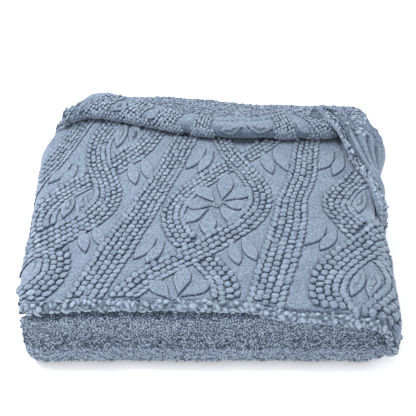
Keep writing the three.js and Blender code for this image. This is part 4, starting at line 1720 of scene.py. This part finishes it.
@dataclass
class Pile:
    """Curls of the cloth's back and lumps of its rolled hems, scattered over the faces that show."""

    cloth: Object
    rng: np.random.Generator
    # Spread of the curls' sizes, and how steep a surface has them spun from another axis
    curl_sizes: float = 0.2
    steep: float = 0.8
    # Clumps lift curls and paint light on them, and pits between them sink them and paint shade on them,
    # up to where the pile is brushed, by height over the floor
    clump_lift: float = 0.35
    clump_lit: float = 0.26
    pit_stretch: float = 1.3
    pit_from: Fade = Fade(0.0, 0.55)
    pit_drop: float = 0.8
    brushed_from: Fade = Fade(30.0, 60.0)
    brushed_pits: float = 0.8
    brushed_flat: float = 0.35
    brushed_even: float = 0.4
    # Painted shade darkens the pile close to the floor
    contact_shade: Fade = Fade(2.0, 27.0, 0.36, 1.0)
    lit_limit: float = 1.4
    # Places tried for each one that would fit
    spot_tries: float = 2.2

    def spots(self, zone: Zone, pitch: float) -> tuple[Array, Array, Array]:
        """Scattered places on the cloth's faces in a zone, none closer together than a pitch.

        Args:
            zone: Zone of the faces.
            pitch: Least distance in metres.

        Returns:
            Places, normals and how light the cloth is there.
        """
        mesh = self.cloth.data
        mesh.calc_loop_triangles()
        count, total = len(mesh.loop_triangles), len(mesh.vertices)
        corners, owners = np.zeros(count * 3, int), np.zeros(count, int)
        points, lit, kinds = np.zeros(total * 3), np.zeros(total), np.zeros(len(mesh.polygons), int)
        mesh.loop_triangles.foreach_get("vertices", corners)
        mesh.loop_triangles.foreach_get("polygon_index", owners)
        mesh.vertices.foreach_get("co", points)
        mesh.attributes["lit"].data.foreach_get("value", lit)
        mesh.attributes["zone"].data.foreach_get("value", kinds)
        corners = in_fixed_order(corners.reshape(-1, 3)[kinds[owners] == zone.value])
        a, b, c = (points.reshape(-1, 3)[corners[:, k]] for k in range(3))
        cross = np.cross(b - a, c - a)
        double = np.linalg.norm(cross, axis=1)
        tries = int(double.sum() / pitch**2 * self.spot_tries)
        chosen = self.rng.choice(len(corners), tries, p=double / double.sum())
        u, v = self.rng.uniform(0, 1, (2, tries, 1))
        u, v = np.where(u + v > 1, 1 - u, u), np.where(u + v > 1, 1 - v, v)
        places = a[chosen] * (1 - u - v) + b[chosen] * u + c[chosen] * v
        kept = spread_out(places, pitch)
        shades = lit[corners[chosen[kept]]].mean(1)
        return places[kept], (cross / np.maximum(double, 1e-12)[:, None])[chosen[kept]], shades

    def curls(self, tufts: Tufts, material: Material) -> Object:
        """Makes one curl at each place of a zone.

        Args:
            tufts: How they are made.
            material: Their finish.

        Returns:
            The object.
        """
        middles, normals, shades = self.spots(tufts.zone, tufts.pitch)
        proto = curl_shape(tufts)
        count, corners = len(middles), len(proto.points)
        spin = self.rng.uniform(0, 2 * math.pi, count)[:, None]
        helper = np.where(np.abs(normals[:, :1]) < self.steep, [[1.0, 0, 0]], [[0, 1.0, 0]])
        tangent = np.cross(normals, helper)
        tangent /= np.linalg.norm(tangent, axis=1, keepdims=True)
        first = tangent * np.cos(spin) + np.cross(normals, tangent) * np.sin(spin)
        second = np.cross(normals, first)
        tilt = self.rng.normal(0, tufts.tilt, count)[:, None]
        up = normals * np.cos(tilt) + first * np.sin(tilt)
        first = first * np.cos(tilt) - normals * np.sin(tilt)
        scale = np.exp(self.rng.normal(0, self.curl_sizes, (count, 3))) * np.array(tufts.size) * MM
        x, y, z = middles.T / MM
        clump = ripples(x, y - z, CLUMP_WAVE)
        brushed = tufts.pits * self.brushed_from.at(z)
        pit = self.pit_from.at(ripples(x, z * self.pit_stretch, PIT_WAVE))
        pit = pit * (tufts.pits - self.brushed_pits * brushed)
        scale[:, 2] *= 1 - self.brushed_flat * brushed
        lift = self.rng.uniform(*tufts.lift, count) + self.clump_lift * clump - self.pit_drop * pit
        lift = lift[:, None] * tufts.size[2] * MM
        uneven = proto.points[None] * (1 + self.rng.normal(0, tufts.rough, (count, corners, 1)))
        offsets = sum(
            axis[:, None] * (uneven[:, :, k, None] * scale[:, None, k, None])
            for k, axis in enumerate((first, second, up))
        )
        placed = above_floor((middles + normals * lift)[:, None] + offsets)
        speckle = self.rng.normal(0, tufts.speckle, count) * (1 - self.brushed_even * brushed)
        # The painted shade of the ground under the curls is taken out again; painted shade is added close to
        # the floor and in pits, and painted light on clumps
        ground = np.clip(shades / (PLAIN_LIT * tufts.under), 0, self.lit_limit) * self.contact_shade.at(z)
        tone = ground * (tufts.tone + speckle + self.clump_lit * clump - pit)
        return joined(tufts.name, [(proto, placed, tone)], material)


def curl_shape(tufts: Tufts) -> Proto:
    """The round shape of a curl, with painted shade at its foot and painted light at its tip."""
    bm = bmesh.new()
    bmesh.ops.create_icosphere(bm, subdivisions=tufts.detail, radius=1)
    points, faces = read_out(bm)
    return Proto(points, faces, np.interp(points[:, 2], tufts.rims, CURL_LIT))


def in_fixed_order(corners: Array) -> Array:
    """Triangles in an order that is the same at every run, each begun at its first vertex."""
    first = corners.argmin(1)[:, None]
    turned = np.take_along_axis(corners, (first + np.arange(3)) % 3, 1)
    return turned[np.lexsort(turned.T[::-1])]


def spread_out(places: Array, pitch: float) -> Array:
    """Numbers of the places that are kept so that no two are closer than a pitch."""
    cells: dict[tuple[int, int, int], int] = {}
    around = [(i, j, k) for i in (-1, 0, 1) for j in (-1, 0, 1) for k in (-1, 0, 1)]
    kept = []
    for number, (spot, key) in enumerate(zip(places, map(tuple, np.floor(places / pitch).astype(int)))):
        near = (cells.get((key[0] + i, key[1] + j, key[2] + k)) for i, j, k in around)
        if all(other is None or np.sum((places[other] - spot) ** 2) >= pitch**2 for other in near):
            cells[key] = number
            kept.append(number)
    return np.array(kept)
# The pile's shader, the scale of its broad brushing and that of its coarser grain over the fine one's
PILE_SHADER = {
    "Roughness": 0.92,
    "Specular IOR Level": 0.15,
    "Sheen Weight": 0.4,
    "Sheen Roughness": 0.5,
    "Sheen Tint": (0.75, 0.85, 1.0, 1.0),
}
CLOUD_SCALE = 34
COARSE = 0.42
Input = Socket | float | Numbers


def feed(node: bpy.types.Node, inputs: dict[str | int, Input]) -> bpy.types.Node:
    """Links each named input of a node to a socket, or sets it to a value, and returns the node."""
    for name, given in inputs.items():
        if isinstance(given, Socket):
            node.id_data.links.new(given, node.inputs[name])
        else:
            node.inputs[name].default_value = given
    return node


def combined(tree: bpy.types.NodeTree, operation: str, *inputs: Input) -> Socket:
    """Result of a math node."""
    node = tree.nodes.new("ShaderNodeMath")
    node.operation = operation
    return feed(node, dict(enumerate(inputs))).outputs["Value"]


def new_material(name: str) -> tuple[Material, bpy.types.NodeTree, bpy.types.Node]:
    """A new material, its node tree and its shader."""
    made = bpy.data.materials.new(name)
    made.use_nodes = True
    return made, made.node_tree, made.node_tree.nodes["Principled BSDF"]


@dataclass(frozen=True)
class Finish:
    """A pile finish.

    Attributes:
        name: Name of the material.
        dark: Colour of painted shade down in the pile.
        base: Colour of the pile.
        light: Colour of painted light on its tips.
        speckle: How much the fine grain shows in the colour.
        clouding: How much the broad brushing shows in the colour.
        grain: Size of its grain in noise scale.
        bump: Depth of the grain in metres.
        strength: Strength of the grain.
    """

    name: str
    dark: tuple[float, float, float]
    base: tuple[float, float, float]
    light: tuple[float, float, float]
    speckle: float
    clouding: float
    grain: float
    bump: float
    strength: float

    def material(self) -> Material:
        """Builds the material."""
        made, tree, shader = new_material(self.name)
        place = tree.nodes.new("ShaderNodeTexCoord").outputs["Object"]

        def grains(scale: float, rough: float = 0.6) -> Socket:
            inputs = {"Vector": place, "Scale": scale, "Detail": 2, "Roughness": rough}
            return feed(tree.nodes.new("ShaderNodeTexNoise"), inputs).outputs["Fac"]

        fine = grains(self.grain, 0.75)
        # The lit attribute's painted light and shade, with grain added, picks the colour from dark through
        # base to light
        lit = tree.nodes.new("ShaderNodeAttribute")
        lit.attribute_name = "lit"
        tone = lit.outputs["Fac"]
        # Each grain is centred on a half, so it is added less half its amount
        for grain, amount in ((fine, self.speckle), (grains(CLOUD_SCALE), self.clouding)):
            tone = combined(tree, "ADD", tone, combined(tree, "MULTIPLY_ADD", grain, amount, -amount / 2))
        colours = feed(tree.nodes.new("ShaderNodeValToRGB"), {"Fac": tone})
        stops = colours.color_ramp.elements
        stops.new(0.5)
        for stop, colour in zip(stops, (self.dark, self.base, self.light)):
            stop.color = (*colour, 1)
        height = combined(tree, "ADD", fine, grains(self.grain * COARSE))
        relief = {"Height": height, "Strength": self.strength, "Distance": self.bump}
        normal = feed(tree.nodes.new("ShaderNodeBump"), relief).outputs["Normal"]
        feed(shader, {**PILE_SHADER, "Base Color": colours.outputs["Color"], "Normal": normal})
        return made


VELOUR = Finish(
    "velour", dark=(0.014, 0.024, 0.043), base=(0.109, 0.144, 0.197), light=(0.228, 0.278, 0.352),
    speckle=1.6, clouding=0.12, grain=430, bump=0.0015, strength=0.8,
)
FLEECE = Finish(
    "fleece", dark=(0.011, 0.019, 0.037), base=(0.109, 0.144, 0.198), light=(0.256, 0.308, 0.388),
    speckle=1.5, clouding=0.12, grain=400, bump=0.0016, strength=0.8,
)
FRONT_CURLS = Tufts(
    "front_curls", Zone.FRONT, 0.0020, (1.6, 1.1, 2.0), UNDER_FRONT, tone=1.36, speckle=0.3, pits=1.0
)
REAR_CURLS = Tufts("rear_curls", Zone.REAR, 0.0026, (2.2, 1.5, 1.3), UNDER_REAR, tone=1.03)
HEM_CURLS = Tufts(
    "hem_curls", Zone.HEM, 0.0044, (4.2, 3.1, 2.6), UNDER_HEM, detail=2, rough=0.05, speckle=0.08,
    lift=(-0.6, -0.2), tilt=0.2, rims=(0.0, 0.4, 1.0),
)
CORNER_CURLS = Tufts(
    "corner_curls", Zone.STRIP, 0.0038, (3.4, 2.4, 2.1), UNDER_STRIP, detail=2, rough=0.05, tone=1.14,
    speckle=0.1, lift=(-0.6, -0.1), tilt=0.2, rims=(0.1, 0.45, 1.0),
)


# Lights: name, place, side and power
LIGHTS = (("key", (-0.85, 0.15, 1.4), 0.75, 31), ("fill", (0.3, -1.9, 1.3), 1.6, 15))
SKY = (0.97, 0.985, 1.0, 1)
SENSOR = 36


@dataclass
class Studio:
    """Floor, lights and camera.

    Attributes:
        floor_tone: How light the floor's colour is.
        floor_glow: How much the floor shines by itself.
        floor_half: Half its side.
        floor_drop: How far it lies under the blanket.
        sky: Strength of the light from all round.
        lens: Focal length in millimetres.
        elevation: How far the camera looks down, in degrees.
        distance: How far it is from what it looks at.
        target: What it looks at.
        aim: What the lights are turned to.
    """

    floor_tone: float = 0.96
    floor_glow: float = 0.09
    floor_half: float = 6.0
    floor_drop: float = 0.0004
    sky: float = 1.2
    lens: float = 90.0
    elevation: float = 39.0
    distance: float = 1.330
    target: tuple[float, float, float] = (-0.0081, 0.0250, 0.040)
    aim: tuple[float, float, float] = (0.0, 0.0, 0.05)

    def floor(self) -> None:
        """Makes the pale floor."""
        bm = bmesh.new()
        bmesh.ops.create_grid(bm, x_segments=1, y_segments=1, size=self.floor_half)
        mesh = bpy.data.meshes.new("floor")
        bm.to_mesh(mesh)
        bm.free()
        paper, _, shader = new_material("paper")
        feed(shader, {
            "Base Color": (self.floor_tone,) * 3 + (1,),
            "Roughness": 1.0,
            "Specular IOR Level": 0.0,
            "Emission Color": (1, 1, 1, 1),
            "Emission Strength": self.floor_glow,
        })
        mesh.materials.append(paper)
        floor = bpy.data.objects.new("floor", mesh)
        floor.location.z = -self.floor_drop
        bpy.context.scene.collection.objects.link(floor)

    def light(self, name: str, place: tuple[float, float, float], size: float, power: float) -> None:
        """Adds a square soft light aimed at the blanket."""
        data = bpy.data.lights.new(name, "AREA")
        data.shape = "SQUARE"
        data.size = size
        data.energy = power
        lamp = bpy.data.objects.new(name, data)
        lamp.location = place
        aim = Vector(self.aim) - Vector(place)
        lamp.rotation_euler = aim.to_track_quat("-Z", "Y").to_euler()
        bpy.context.scene.collection.objects.link(lamp)

    def build(self) -> None:
        """Makes the whole studio."""
        self.floor()
        scene = bpy.context.scene
        world = bpy.data.worlds.new("studio")
        scene.world = world
        world.use_nodes = True
        feed(world.node_tree.nodes["Background"], {"Color": SKY, "Strength": self.sky})
        for light in LIGHTS:
            self.light(*light)
        scene.view_settings.view_transform = "Standard"
        scene.view_settings.look = "None"
        camera_data = bpy.data.cameras.new("camera")
        camera_data.lens = self.lens
        camera_data.sensor_width = SENSOR
        camera = bpy.data.objects.new("camera", camera_data)
        tilt = math.radians(self.elevation)
        back_off = Vector((0, -math.cos(tilt), math.sin(tilt)))
        camera.location = Vector(self.target) + back_off * self.distance
        camera.rotation_euler = (-back_off).to_track_quat("-Z", "Y").to_euler()
        scene.collection.objects.link(camera)
        scene.camera = camera


def main() -> None:
    """Builds every piece in order."""
    logging.basicConfig(level=logging.INFO)
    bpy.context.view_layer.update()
    velour, fleece = VELOUR.material(), FLEECE.material()
    cloth = Cloth(velour, fleece).build()
    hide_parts(NODE)
    LOG.info("%s: %d faces", cloth.name, len(cloth.data.polygons))
    beads = BeadRows(velour, np.random.default_rng(BEAD_SEED))
    pile = Pile(cloth, np.random.default_rng(PILE_SEED))
    added = [beads.build_top(), beads.build_cuff(), Figures(velour).build()]
    added += [pile.curls(tufts, fleece) for tufts in (FRONT_CURLS, REAR_CURLS)]
    added += [pile.curls(tufts, velour) for tufts in (HEM_CURLS, CORNER_CURLS)]
    for piece in added:
        LOG.info("%s: %d faces", piece.name, len(piece.data.polygons))
    Studio().build()


if __name__ == "__main__":
    main()
